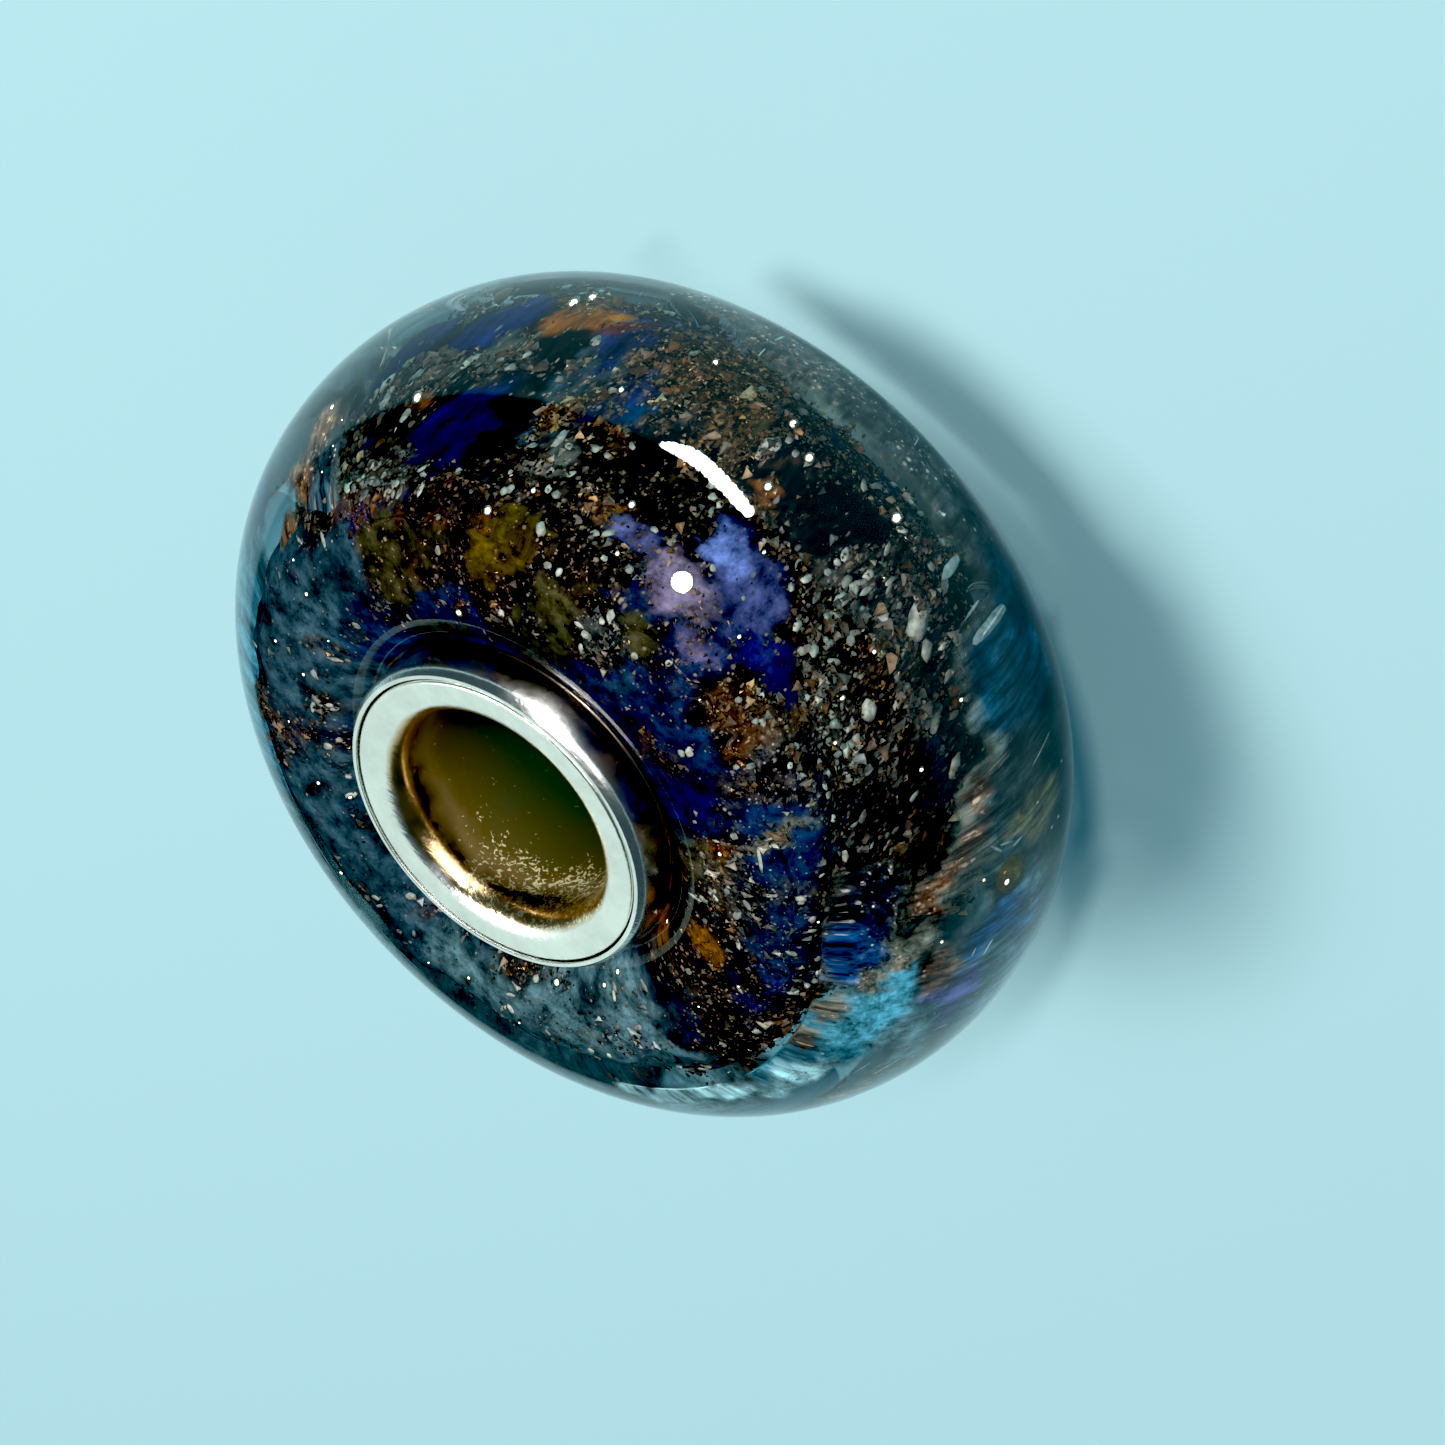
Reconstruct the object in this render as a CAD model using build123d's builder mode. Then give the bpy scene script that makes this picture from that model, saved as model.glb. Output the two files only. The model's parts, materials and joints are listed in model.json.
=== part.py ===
# Glass charm bead on a silver core, for a bracelet or a neck chain.
# Millimetres. The bore runs along Z through the origin, and the bead lies on one of its silver faces.
# The clear glass is gathered thicker on one side, so its barrel stands a little off the bore's axis.
import os
from math import acos, cos, degrees, radians, sin

from build123d import *

# Clear glass barrel
barrel_d = 14.0           # across the widest part of the glass
barrel_w = 6.9            # over the highest ring of each glass end
barrel_shift = 0.30       # from the bore's axis to the barrel's axis
barrel_shift_angle = 157.6  # direction of the shift, in degrees from +X
crest_flat = 0.11         # level ring on each glass end, where it is narrowest

# Dimple in each glass end, where the silver collar sits
dimple_depth = 0.50       # from the glass end down to the dimple's floor
dimple_margin = 0.05      # floor left free round the collar's widest part
lip_r = 0.95              # rounding from the glass end down into the dimple

# Coloured inner glass, gathered wider towards the upper end
core_foot_wall = 1.84     # from the bore's hole in the glass out to the narrow end's corner
core_foot_clear = 0.85    # clear glass between the narrow end and the lower dimple's floor
core_foot_round = 1.2     # outer corner of the narrow end
core_side_clear = 1.40    # clear glass outside the wide end's corner, where the casing is thinnest
core_crest_clear = 0.45   # clear glass over the wide end's rim
core_dish_clear = 0.35    # clear glass between the wide end's dish and the upper dimple's floor
core_rim_w = 1.65         # level rim of the wide end, out to its corner
core_rim_round = 0.65     # outer corner of the wide end

# Silver tube with flared ends
bore_d = 3.7
tube_wall = 0.20
mouth_r = 0.45            # rounding of each mouth of the bore
flare_w = 0.26            # flat ring of the flare, beyond the mouth's rounding
flare_edge_r = 0.07       # rounding of the flare's rim

# Silver collars round the flares
face_proud = 0.35         # from the glass end up to the flat silver face
collar_lip_w = 0.08       # flat lip of the collar, round the flare
collar_bulge = 0.13       # how far the collar's side swells beyond its lip

# Clearance between neighbouring pieces
fit_gap = 0.03

# Radii, from the bore outwards
bore_r = bore_d / 2
tube_r = bore_r + tube_wall
glass_hole_r = tube_r + fit_gap
mouth_centre_r = bore_r + mouth_r
flare_r = mouth_centre_r + flare_w
collar_recess_r = flare_r + fit_gap
collar_face_r = collar_recess_r + collar_lip_w
collar_r = collar_face_r + collar_bulge
seat_r = collar_r + dimple_margin
lip_turn = acos(1 - dimple_depth / lip_r)
lip_centre_r = seat_r + lip_r * sin(lip_turn)
crest_r = lip_centre_r + barrel_shift + crest_flat
core_foot_r = glass_hole_r + core_foot_wall
core_rim_r = barrel_d / 2 - barrel_shift - core_side_clear
core_dish_r = max(core_rim_r - core_rim_w, seat_r)

# Heights, from the middle of the bead up
crest_z = barrel_w / 2
face_z = crest_z + face_proud
seat_z = crest_z - dimple_depth
core_foot_z = seat_z - core_foot_clear
core_rim_z = crest_z - core_crest_clear
core_dish_z = seat_z - core_dish_clear
collar_base_z = seat_z + fit_gap
collar_bulge_z = (collar_base_z + face_z) / 2
mouth_centre_z = face_z - mouth_r
flare_under_z = face_z - tube_wall
collar_recess_z = flare_under_z - fit_gap

# Bends and rounded corners, limited by the wall that they are on
flare_bend_r = mouth_r - tube_wall
collar_bend_r = flare_bend_r - fit_gap
flare_rim_r = min(flare_edge_r, 0.45 * tube_wall)
core_foot_corner_r = min(core_foot_round, 0.75 * core_foot_wall)
core_rim_corner_r = min(core_rim_round, 0.6 * (core_rim_r - core_dish_r))

# The barrel's own axis, beside the bore's
barrel_x = barrel_shift * cos(radians(barrel_shift_angle))
barrel_y = barrel_shift * sin(radians(barrel_shift_angle))
barrel_axis = Axis((barrel_x, barrel_y, 0), (0, 0, 1))
barrel_plane = Plane(origin=(barrel_x, barrel_y, 0), x_dir=(1, 0, 0), z_dir=(0, -1, 0))


def core_section(gap):
    """Upright section of the coloured glass, grown by a gap: a cone's ring, dished under the upper collar."""
    with BuildSketch(Plane.XZ) as section:
        with BuildLine():
            Polyline(
                (glass_hole_r, -core_foot_z),
                (core_foot_r, -core_foot_z),
                (core_rim_r, core_rim_z),
                (core_dish_r, core_rim_z),
                (seat_r, core_dish_z),
                (glass_hole_r, core_dish_z),
                close=True,
            )
        make_face()
        fillet(section.vertices().sort_by(Axis.X)[-1], core_rim_corner_r)
        fillet(section.vertices().group_by(Axis.Y)[0].sort_by(Axis.X)[-1], core_foot_corner_r)
        offset(amount=gap, kind=Kind.INTERSECTION)
    return section.sketch


# Clear casing: a barrel with rounded ends, dimpled round the bore and hollow where the coloured glass lies
with BuildPart() as clear_casing:
    with BuildSketch(barrel_plane):
        with BuildLine():
            side = EllipticalCenterArc((crest_r, 0), barrel_d / 2 - crest_r, crest_z, 0, arc_size=90)
            Polyline(side @ 1, (0, crest_z), (0, 0), side @ 0)
        make_face()
    revolve(axis=barrel_axis)
    with BuildSketch(Plane.XZ):
        with BuildLine():
            lip = CenterArc((lip_centre_r, crest_z - lip_r), lip_r, 90, degrees(lip_turn))
            Polyline(lip @ 1, (0, seat_z), (0, face_z), (lip_centre_r, face_z), lip @ 0)
        make_face()
    revolve(axis=Axis.Z, mode=Mode.SUBTRACT)
    mirror(about=Plane.XY)
    revolve(core_section(fit_gap), axis=Axis.Z, mode=Mode.SUBTRACT)
    Hole(glass_hole_r)
clear_casing.part.label = "clear_casing"

# Coloured core: a thick ring of darker glass that lies in the casing, round the tube
with BuildPart() as color_core:
    revolve(core_section(0), axis=Axis.Z)
    Hole(glass_hole_r)
color_core.part.label = "color_core"

# Silver tube: a thin wall through the glass, whose ends roll outwards over the collars
with BuildPart() as silver_tube:
    with BuildSketch(Plane.XZ) as tube_section:
        with BuildLine():
            mouth = CenterArc((mouth_centre_r, mouth_centre_z), mouth_r, 90, 90)
            bend = CenterArc((mouth_centre_r, mouth_centre_z), flare_bend_r, 90, 90)
            Polyline(mouth @ 1, (bore_r, 0), (tube_r, 0), bend @ 1)
            Polyline(mouth @ 0, (flare_r, face_z), (flare_r, flare_under_z), bend @ 0)
        make_face()
        fillet(tube_section.vertices().group_by(Axis.X)[-1], flare_rim_r)
    revolve(axis=Axis.Z)
    mirror(about=Plane.XY)
silver_tube.part.label = "silver_tube"

# Silver collar: a ring with a swelling side, recessed for the flare so that both end level
with BuildPart() as collar_top:
    with BuildSketch(Plane.XZ):
        with BuildLine():
            widest = (collar_r, collar_bulge_z)
            side = ThreePointArc((collar_face_r, collar_base_z), widest, (collar_face_r, face_z))
            bend = CenterArc((mouth_centre_r, mouth_centre_z), collar_bend_r, 90, 90)
            Polyline(bend @ 1, (glass_hole_r, collar_base_z), side @ 0)
            Polyline(side @ 1, (collar_recess_r, face_z), (collar_recess_r, collar_recess_z), bend @ 0)
        make_face()
    revolve(axis=Axis.Z)
collar_top.part.label = "collar_top"

# The same collar under the bead
with BuildPart() as collar_bottom:
    mirror(collar_top.part, about=Plane.XY)
collar_bottom.part.label = "collar_bottom"

os.makedirs("parts", exist_ok=True)
export_step(clear_casing.part, "parts/clear_casing.step")
export_step(color_core.part, "parts/color_core.step")
export_step(silver_tube.part, "parts/silver_tube.step")
export_step(collar_top.part, "parts/collar_top.step")
export_step(collar_bottom.part, "parts/collar_bottom.step")
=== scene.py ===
import json
import random
from collections import namedtuple
from math import acos, cos, pi, radians, sin, sqrt, tan, tau

import bpy
import numpy as np
from bpy.props import FloatProperty, FloatVectorProperty, IntProperty, PointerProperty
from bpy.types import Operator, Panel, PropertyGroup
from mathutils import Matrix, Vector, noise
from mathutils.bvhtree import BVHTree
from mathutils.interpolate import poly_3d_calc

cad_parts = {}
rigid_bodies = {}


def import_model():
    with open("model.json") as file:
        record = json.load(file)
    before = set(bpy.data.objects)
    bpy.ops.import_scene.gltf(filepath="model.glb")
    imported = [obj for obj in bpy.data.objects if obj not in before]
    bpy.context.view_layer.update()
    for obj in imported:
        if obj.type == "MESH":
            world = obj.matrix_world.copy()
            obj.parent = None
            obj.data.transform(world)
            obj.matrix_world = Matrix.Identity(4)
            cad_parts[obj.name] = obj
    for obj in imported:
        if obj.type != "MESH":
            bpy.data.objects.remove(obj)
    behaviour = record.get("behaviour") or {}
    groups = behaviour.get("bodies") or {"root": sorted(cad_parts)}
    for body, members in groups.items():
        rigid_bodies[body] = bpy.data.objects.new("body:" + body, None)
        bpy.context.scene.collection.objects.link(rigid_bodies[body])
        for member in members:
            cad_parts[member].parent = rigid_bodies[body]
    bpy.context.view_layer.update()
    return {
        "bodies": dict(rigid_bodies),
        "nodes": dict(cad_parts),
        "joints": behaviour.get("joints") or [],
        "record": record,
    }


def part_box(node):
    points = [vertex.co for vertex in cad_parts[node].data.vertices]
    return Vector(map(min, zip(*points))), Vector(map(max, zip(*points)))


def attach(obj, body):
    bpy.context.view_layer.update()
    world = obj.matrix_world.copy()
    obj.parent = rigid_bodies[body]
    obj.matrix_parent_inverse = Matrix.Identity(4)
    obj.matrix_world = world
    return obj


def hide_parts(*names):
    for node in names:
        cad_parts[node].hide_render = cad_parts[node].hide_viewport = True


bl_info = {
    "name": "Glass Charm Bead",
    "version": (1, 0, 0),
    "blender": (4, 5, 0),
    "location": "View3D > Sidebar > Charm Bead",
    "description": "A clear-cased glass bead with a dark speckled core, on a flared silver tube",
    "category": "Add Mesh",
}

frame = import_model()

mm = 0.001
photo_side = 1445                # pixels, the frame in which places on the bead are given
film_width = 36                  # mm, of the camera's film
glass_ior = 1.5
spot_at = (682, 582)             # pixel at which the round lamp shows in the glass
spot_radius = 11                 # pixels, of the round lamp's image
bubble_at = (1010, 873)          # pixel at which the trapped bubble shows
bubble_depth = 0.75 * mm         # of the trapped bubble's middle in the clear glass
lamp_distance = 300 * mm         # from the glass to the lamps
strip_distance = 13 * mm         # to the strip's lamps, whose images the floor would hide from farther off
merge_gap = 0.001 * mm           # points nearer than this are one
ray_start = 0.01                 # mm past a surface, so that a ray doesn't meet it again
glass_steps = 128                # faces round the clear glass and the veil
core_steps = 104                 # faces round the core
silver_steps = 96                # faces round the tube and the collars
noise_seed = 1796036514          # start of the soft noise, which Blender would take from the clock each run
noise_offsets = (3.7, 1.3, 5.9)  # from one noise to the next

mounts = {mount["name"]: mount for mount in frame["record"]["mounts"]}
casing_low, casing_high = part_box("clear_casing")
core_low, core_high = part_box("color_core")
tube_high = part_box("silver_tube")[1]
collar_low, collar_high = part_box("collar_top")


def length_prop(name, description, default):
    """A property that is a length."""
    return FloatProperty(name=name, description=description, unit="LENGTH", default=default)


def color_prop(name, description, default):
    """A property that is a colour."""
    return FloatVectorProperty(name=name, description=description, subtype="COLOR", default=default)


class BeadSizes(PropertyGroup):
    """Sizes of the bead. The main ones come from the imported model."""

    barrel_r: length_prop(
        "Barrel radius", "Half of the widest part of the glass", (casing_high.x - casing_low.x) / 2)
    barrel_shift: FloatVectorProperty(
        name="Barrel shift", description="From the bore's axis to the barrel's axis", unit="LENGTH", size=2,
        default=((casing_high.x + casing_low.x) / 2, (casing_high.y + casing_low.y) / 2))
    crest_z: length_prop("Crest height", "Highest ring of the glass end", casing_high.z)
    dimple_depth: length_prop("Dimple depth", "From the glass end to the dimple's floor", 0.50 * mm)
    dimple_margin: length_prop("Dimple margin", "Floor left free round the collar", 0.05 * mm)
    lip_r: length_prop("Lip radius", "Rounding from the glass end into the dimple", 0.95 * mm)
    crest_flat: length_prop("Crest flat", "Level ring on the glass end, where it is narrowest", 0.11 * mm)
    unevenness: length_prop(
        "Unevenness", "How far the barrel's surface wanders from a true round", 0.03 * mm)
    core_rim_z: length_prop(
        "Core rim height", "Wide end of the coloured glass above the middle", core_high.z)
    core_rim_r: length_prop(
        "Core rim radius", "Corner of the coloured glass's wide end", core_high.x + 0.20 * mm)
    core_rim_w: length_prop("Core rim width", "Level rim round the dish in the wide end", 1.65 * mm)
    core_rim_round: length_prop("Core rim rounding", "Outer corner of the wide end", 0.65 * mm)
    core_foot_z: length_prop(
        "Core foot height", "Narrow end of the coloured glass below the middle", core_low.z)
    core_foot_r: length_prop("Core foot radius", "Corner of the coloured glass's narrow end", 3.92 * mm)
    core_foot_round: length_prop("Core foot rounding", "Outer corner of the narrow end", 1.2 * mm)
    core_dish_clear: length_prop(
        "Core dish cover", "Clear glass between the dimple's floor and the coloured glass", 0.35 * mm)
    core_lumps: length_prop("Core lumps", "Height of the lumps on the coloured glass", 0.24 * mm)
    veil_cover: length_prop("Veil cover", "Clear glass outside the veil", 0.55 * mm)
    veil_swell: length_prop("Veil swell", "How far the veil's side swells outwards", 2.35 * mm)
    veil_z: length_prop("Veil height", "Half height that the veil's curve would reach", 2.95 * mm)
    veil_wall: length_prop("Veil thickness", "Thickness of the veil", 0.04 * mm)
    bore_r: length_prop("Bore radius", "Inside of the silver tube", mounts["bore"]["dims"]["r_mm"] * mm)
    tube_wall: length_prop("Tube wall", "Thickness of the silver tube", 0.20 * mm)
    mouth_r: length_prop("Mouth rounding", "Rounding of the bore's mouth", 0.45 * mm)
    flare_r: length_prop("Flare radius", "Rim of the tube's flared end", tube_high.x)
    flare_edge: length_prop("Flare edge", "Rounding of the flare's rim", 0.07 * mm)
    face_z: length_prop("Face height", "Flat silver face above the middle", tube_high.z)
    collar_r: length_prop("Collar radius", "Widest part of the collar", collar_high.x)
    collar_base_z: length_prop("Collar foot", "Underside of the collar above the middle", collar_low.z)
    collar_lip: length_prop("Collar lip", "Flat lip of the collar, round the flare", 0.08 * mm)
    fit_gap: length_prop("Gap", "Clearance between neighbouring pieces", 0.03 * mm)


class StudioLook(PropertyGroup):
    """The camera and the lights."""

    elevation: FloatProperty(
        name="Elevation", description="Camera above the floor", unit="ROTATION", default=radians(36.63))
    roll: FloatProperty(
        name="Roll", description="Turn of the camera about its own axis", unit="ROTATION",
        default=radians(-134.1))
    distance: length_prop("Distance", "Camera to the bead's middle plane", 125 * mm)
    lens: FloatProperty(name="Lens", description="Focal length", unit="CAMERA", default=203.3)
    off_centre: FloatVectorProperty(
        name="Off centre", description="Bead's middle, right of and below the picture's middle",
        unit="LENGTH", size=2, default=(-1.254 * mm, -0.613 * mm))
    floor_color: color_prop("Floor", "Colour of the floor", (0.62, 0.92, 0.95))
    glow_color: color_prop("Floor glow colour", "Colour of the floor in the shade", (0.20, 0.70, 0.95))
    floor_glow: FloatProperty(
        name="Floor glow", description="Light that the pale floor gives of its own", default=0.10)
    sky_color: color_prop("Room light", "Colour of the light from all round", (0.55, 0.86, 0.98))
    sky_strength: FloatProperty(name="Room brightness", description="Light from all round", default=0.10)
    black_level: FloatProperty(
        name="Black level", description="Light below which the picture is black", default=0.032)


class GlassLook(PropertyGroup):
    """Colours of the glass."""

    tint: color_prop("Clear glass", "Tint of the clear glass", (0.55, 0.80, 0.88))
    bubble: length_prop("Bubble", "Radius of the trapped bubble", 0.32 * mm)
    chips: IntProperty(name="Chips", description="Number of loose ivory chips on the core", default=500)
    grains: IntProperty(name="Grains", description="Number of crushed grains on the core", default=16000)
    flakes: IntProperty(name="Flakes", description="Number of copper flakes in the glass", default=6000)
    seed: IntProperty(name="Seed", description="Start of the scatter of chips, grains and flakes", default=7)


class SilverLook(PropertyGroup):
    """Colours of the metal."""

    silver: color_prop("Silver", "Colour of the polished silver", (0.93, 0.94, 0.90))
    # Brown tarnish and painted shade, low on the collar's side
    stain_and_shade: color_prop("Stain", "Brown tarnish low on the collar's side", (0.52, 0.40, 0.30))
    bore_mouth: color_prop("Bore, mouth", "Tarnish just inside the bore's mouth", (0.56, 0.40, 0.23))
    bore_middle: color_prop("Bore, middle", "Tarnish further in", (0.20, 0.16, 0.06))
    bore_deep: color_prop("Bore, deep", "Tarnish deep in the bore", (0.12, 0.17, 0.11))
    # Painted glints on the bore's wall
    painted_glint: color_prop("Flecks", "Bright flecks on the bore's wall", (1.0, 0.95, 0.62))


def deselect():
    """Leaves nothing selected or active."""
    bpy.ops.object.select_all(action="DESELECT")
    bpy.context.view_layer.objects.active = None


def arc(centre, radius, start, end, steps):
    """Points of an arc in the plane of radius and height, between two angles in degrees."""
    turns = [radians(start + (end - start) * i / steps) for i in range(steps + 1)]
    return [(centre[0] + radius * cos(turn), centre[1] + radius * sin(turn)) for turn in turns]


def line(start, end, steps):
    """Points of a straight stretch, without its ends."""
    return [tuple(a + (b - a) * i / steps for a, b in zip(start, end)) for i in range(1, steps)]


def rounded(corners, spacing):
    """Closed outline of (radius, height) points through corners that each have a rounding, evenly spaced."""
    outline = []
    befores, afters = corners[-1:] + corners[:-1], corners[1:] + corners[:1]
    for before, (r, z, rounding), after in zip(befores, corners, afters):
        here = Vector((r, z))
        to_before = (Vector(before[:2]) - here).normalized()
        to_after = (Vector(after[:2]) - here).normalized()
        half = to_before.angle(to_after) / 2
        reach = rounding / tan(half)
        centre = here + (to_before + to_after).normalized() * rounding / sin(half)
        start, end = here + to_before * reach - centre, here + to_after * reach - centre
        steps = max(2, round((pi - 2 * half) * rounding / spacing))
        for i in range(steps + 1):
            spot = start.lerp(end, i / steps)
            outline.append(tuple(centre + spot.normalized() * rounding) if rounding else (r, z))
    spaced = []
    for here, there in zip(outline, outline[1:] + outline[:1]):
        gap = (Vector(there) - Vector(here)).length
        if gap > 1e-9:
            spaced += [here] + line(here, there, max(1, round(gap / spacing)))
    return spaced


def lathe(name, outline, steps):
    """A ring turned about Z from a closed outline of (radius, height) points. It stays in edit mode."""
    deselect()
    start = (outline[0][0], 0, outline[0][1])
    bpy.ops.mesh.primitive_plane_add(size=0.1 * mm, location=start)
    piece = bpy.context.object
    piece.name = piece.data.name = name
    bpy.ops.object.transform_apply(location=True, rotation=True, scale=True)
    bpy.ops.object.mode_set(mode="EDIT")
    bpy.ops.mesh.select_all(action="SELECT")
    bpy.ops.mesh.merge(type="CENTER")
    for here, there in zip(outline, outline[1:] + outline[:1]):
        step = (there[0] - here[0], 0, there[1] - here[1])
        bpy.ops.mesh.extrude_region_move(TRANSFORM_OT_translate={"value": step})
    bpy.ops.mesh.select_all(action="SELECT")
    bpy.ops.mesh.remove_doubles(threshold=merge_gap)
    bpy.ops.object.mode_set(mode="OBJECT")
    # The Screw modifier gives the points the same order each run, as the random picks need. Spin doesn't.
    apply_modifier(piece, "SCREW", axis="Z", angle=tau, steps=steps, render_steps=steps,
                   use_merge_vertices=True, merge_threshold=merge_gap)
    bpy.ops.object.mode_set(mode="EDIT")
    bpy.ops.mesh.select_all(action="SELECT")
    bpy.ops.mesh.normals_make_consistent(inside=False)
    return piece


def select_where(piece, test):
    """Selects the vertices of the piece in edit mode that pass a test on their place."""
    bpy.ops.mesh.select_all(action="DESELECT")
    bpy.ops.object.mode_set(mode="OBJECT")
    for vertex in piece.data.vertices:
        vertex.select = test(vertex.co)
    bpy.ops.object.mode_set(mode="EDIT")


def apply_modifier(piece, kind, **settings):
    """Adds a modifier with these settings and applies it."""
    modifier = piece.modifiers.new(kind.title(), kind)
    for key, value in settings.items():
        setattr(modifier, key, value)
    bpy.ops.object.modifier_apply(modifier=modifier.name)


def refine(piece, levels=1):
    """Leaves edit mode and divides the piece's faces."""
    bpy.ops.object.mode_set(mode="OBJECT")
    apply_modifier(piece, "SUBSURF", levels=levels, render_levels=levels)


def group_selected(piece):
    """Name of a new vertex group of the points that are selected in edit mode."""
    bpy.ops.object.vertex_group_add()
    bpy.ops.object.vertex_group_assign()
    return piece.vertex_groups[0].name


def store_tint(mesh, colors):
    """Writes a colour on each point."""
    tint = mesh.attributes.new("tint", "FLOAT_COLOR", "POINT")
    tint.data.foreach_set("color", np.hstack([colors, np.ones((len(colors), 1))]).ravel())


def lumps(piece, height, size, group):
    """Pushes a surface in and out by soft noise of a given height and size."""
    texture = bpy.data.textures.new("soft_lumps", "CLOUDS")
    texture.noise_basis = "IMPROVED_PERLIN"
    texture.noise_scale = size
    texture.noise_depth = 0
    apply_modifier(piece, "DISPLACE", texture=texture, strength=height, mid_level=0.5, vertex_group=group)


def finish_piece(piece, body="root", replaced=(), material=None, smooth=True):
    """Smooths the finished piece, gives it its material, hangs it on its body and hides the parts that it
    replaces.
    """
    deselect()
    piece.select_set(True)
    bpy.context.view_layer.objects.active = piece
    if smooth:
        bpy.ops.object.shade_smooth()
    piece.data.materials.clear()
    piece.data.materials.append(material)
    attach(piece, body)
    if replaced:
        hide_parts(*replaced)


def tree_node(tree, kind, inputs=None, **settings):
    """Adds a shader node, with settings, and inputs that are values or other nodes' sockets."""
    made = tree.nodes.new("ShaderNode" + kind)
    for key, value in settings.items():
        setattr(made, key, value)
    for key, value in (inputs or {}).items():
        if isinstance(value, bpy.types.NodeSocket):
            tree.links.new(value, made.inputs[key])
        else:
            made.inputs[key].default_value = value
    return made


def new_material(name):
    """An empty node material, and its tree and output node."""
    material = bpy.data.materials.new(name)
    material.use_nodes = True
    tree = material.node_tree
    tree.nodes.clear()
    return material, tree, tree.nodes.new("ShaderNodeOutputMaterial")


def mix_colors(tree, factor, first, second, blend="MIX"):
    """Colour socket of a mix of two colours."""
    mixed = tree_node(tree, "Mix", {0: factor, 6: first, 7: second}, data_type="RGBA", blend_type=blend)
    return mixed.outputs[2]


def math_node(tree, operation, *values, clamp=False):
    """Value socket of a sum, product or the like of values and sockets."""
    return tree_node(tree, "Math", dict(enumerate(values)), operation=operation, use_clamp=clamp).outputs[0]


def ranged(tree, value, low, high, start=0.0, end=1.0):
    """Value socket of a value moved from one range to another, and held in that."""
    return tree_node(tree, "MapRange", {0: value, 1: low, 2: high, 3: start, 4: end}).outputs[0]


def noise_node(tree, place, scale, detail, roughness=0.5, distortion=0.0):
    """Value socket of a noise."""
    return tree_node(tree, "TexNoise", {
        "Vector": place, "Scale": scale, "Detail": detail, "Roughness": roughness,
        "Distortion": distortion}).outputs[0]


def camera_axes(studio):
    """The camera's turn as a matrix: its columns point right, up and back."""
    back = Vector((0, -cos(studio.elevation), sin(studio.elevation)))
    right = Vector((1, 0, 0))
    level = Matrix((right, back.cross(right), back)).transposed()
    return level @ Matrix.Rotation(studio.roll, 3, "Z")


def camera_place(studio):
    """Where the camera stands."""
    right, up, back = camera_axes(studio).transposed()
    across, down = studio.off_centre
    return back * studio.distance - right * across + up * down


def camera_ray(px, py):
    """Start and direction of the camera's ray at a pixel of the square picture."""
    studio = bpy.context.scene.bead_studio
    focal = studio.lens / film_width * photo_side
    right, up, back = camera_axes(studio).transposed()
    direction = right * (px - photo_side / 2) / focal - up * (py - photo_side / 2) / focal - back
    return camera_place(studio), direction.normalized()


def surface_of(name):
    """A search tree of a finished piece's surface, or None before the piece is there."""
    if name not in bpy.data.objects:
        return None
    return BVHTree.FromObject(bpy.data.objects[name], bpy.context.evaluated_depsgraph_get())


def refracted(direction, normal):
    """Direction of a ray after it enters the glass."""
    ratio = 1 / glass_ior
    cosine = -direction.dot(normal)
    inside = 1 - ratio * ratio * (1 - cosine * cosine)
    return ratio * direction + (ratio * cosine - sqrt(inside)) * normal


class Sight:
    """What the camera sees at a pixel, on the clear glass and through it."""

    def __init__(self):
        self.casing = surface_of("casing_glass")
        self.core = surface_of("core_glass")
        self.veil = surface_of("veil_streaks_and_painted_shade")

    def on_glass(self, px, py):
        """Point on the clear glass, the way out of it there, and the ray's direction."""
        start, direction = camera_ray(px, py)
        point, _, index, _ = self.casing.ray_cast(start, direction)
        if point is None:
            return None
        mesh = bpy.data.objects["casing_glass"].data
        corners = [mesh.vertices[i] for i in mesh.polygons[index].vertices]
        weights = poly_3d_calc([corner.co for corner in corners], point)
        normal = sum((corner.normal * weight for corner, weight in zip(corners, weights)), Vector())
        return point, normal.normalized(), direction

    def inner(self, px, py):
        """Direction of the camera's ray inside the clear glass."""
        _, normal, direction = self.on_glass(px, py)
        return refracted(direction, normal)

    def through(self, layer, px, py):
        """Point and normal where the ray behind a pixel meets a layer in the glass, or None."""
        seen = self.on_glass(px, py)
        if seen is None:
            return None
        point, normal, direction = seen
        inner = refracted(direction, normal)
        place, facing, _, _ = layer.ray_cast(point + inner * ray_start * mm, inner)
        if place is None:
            return None
        return place, facing

    def on_core(self, px, py):
        """Point and normal on the coloured core behind a pixel."""
        return self.through(self.core, px, py)

    def on_veil(self, px, py):
        """Point and normal on the veil behind a pixel."""
        return self.through(self.veil, px, py)

    def inside(self, px, py, depth):
        """Point at a depth behind a pixel, or on the core if that is nearer, and the way out there."""
        point, normal, _ = self.on_glass(px, py)
        inner = self.inner(px, py)
        hit = self.on_core(px, py)
        if hit and (hit[0] - point).length < depth:
            return hit
        return point + inner * depth, normal

    def lamp_for(self, px, py, radius, distance):
        """Place, target, size and long side of a lamp whose image is round, of a radius in pixels."""
        ways = ((1, 0), (-1, 0), (0, 1), (0, -1))
        right, left, below, above = (
            self.mirror(px + radius * x, py + radius * y, distance) for x, y in ways)
        turned, spans, _ = np.linalg.svd(np.column_stack([right - left, below - above]))
        target = self.on_glass(px, py)[0]
        return self.mirror(px, py, distance), target, (spans[0], spans[1]), Vector(turned[:, 0])

    def mirror(self, px, py, distance):
        """Point at a distance from which a lamp shows in the glass at a pixel."""
        point, normal, direction = self.on_glass(px, py)
        return point + direction.reflect(normal) * distance


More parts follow.
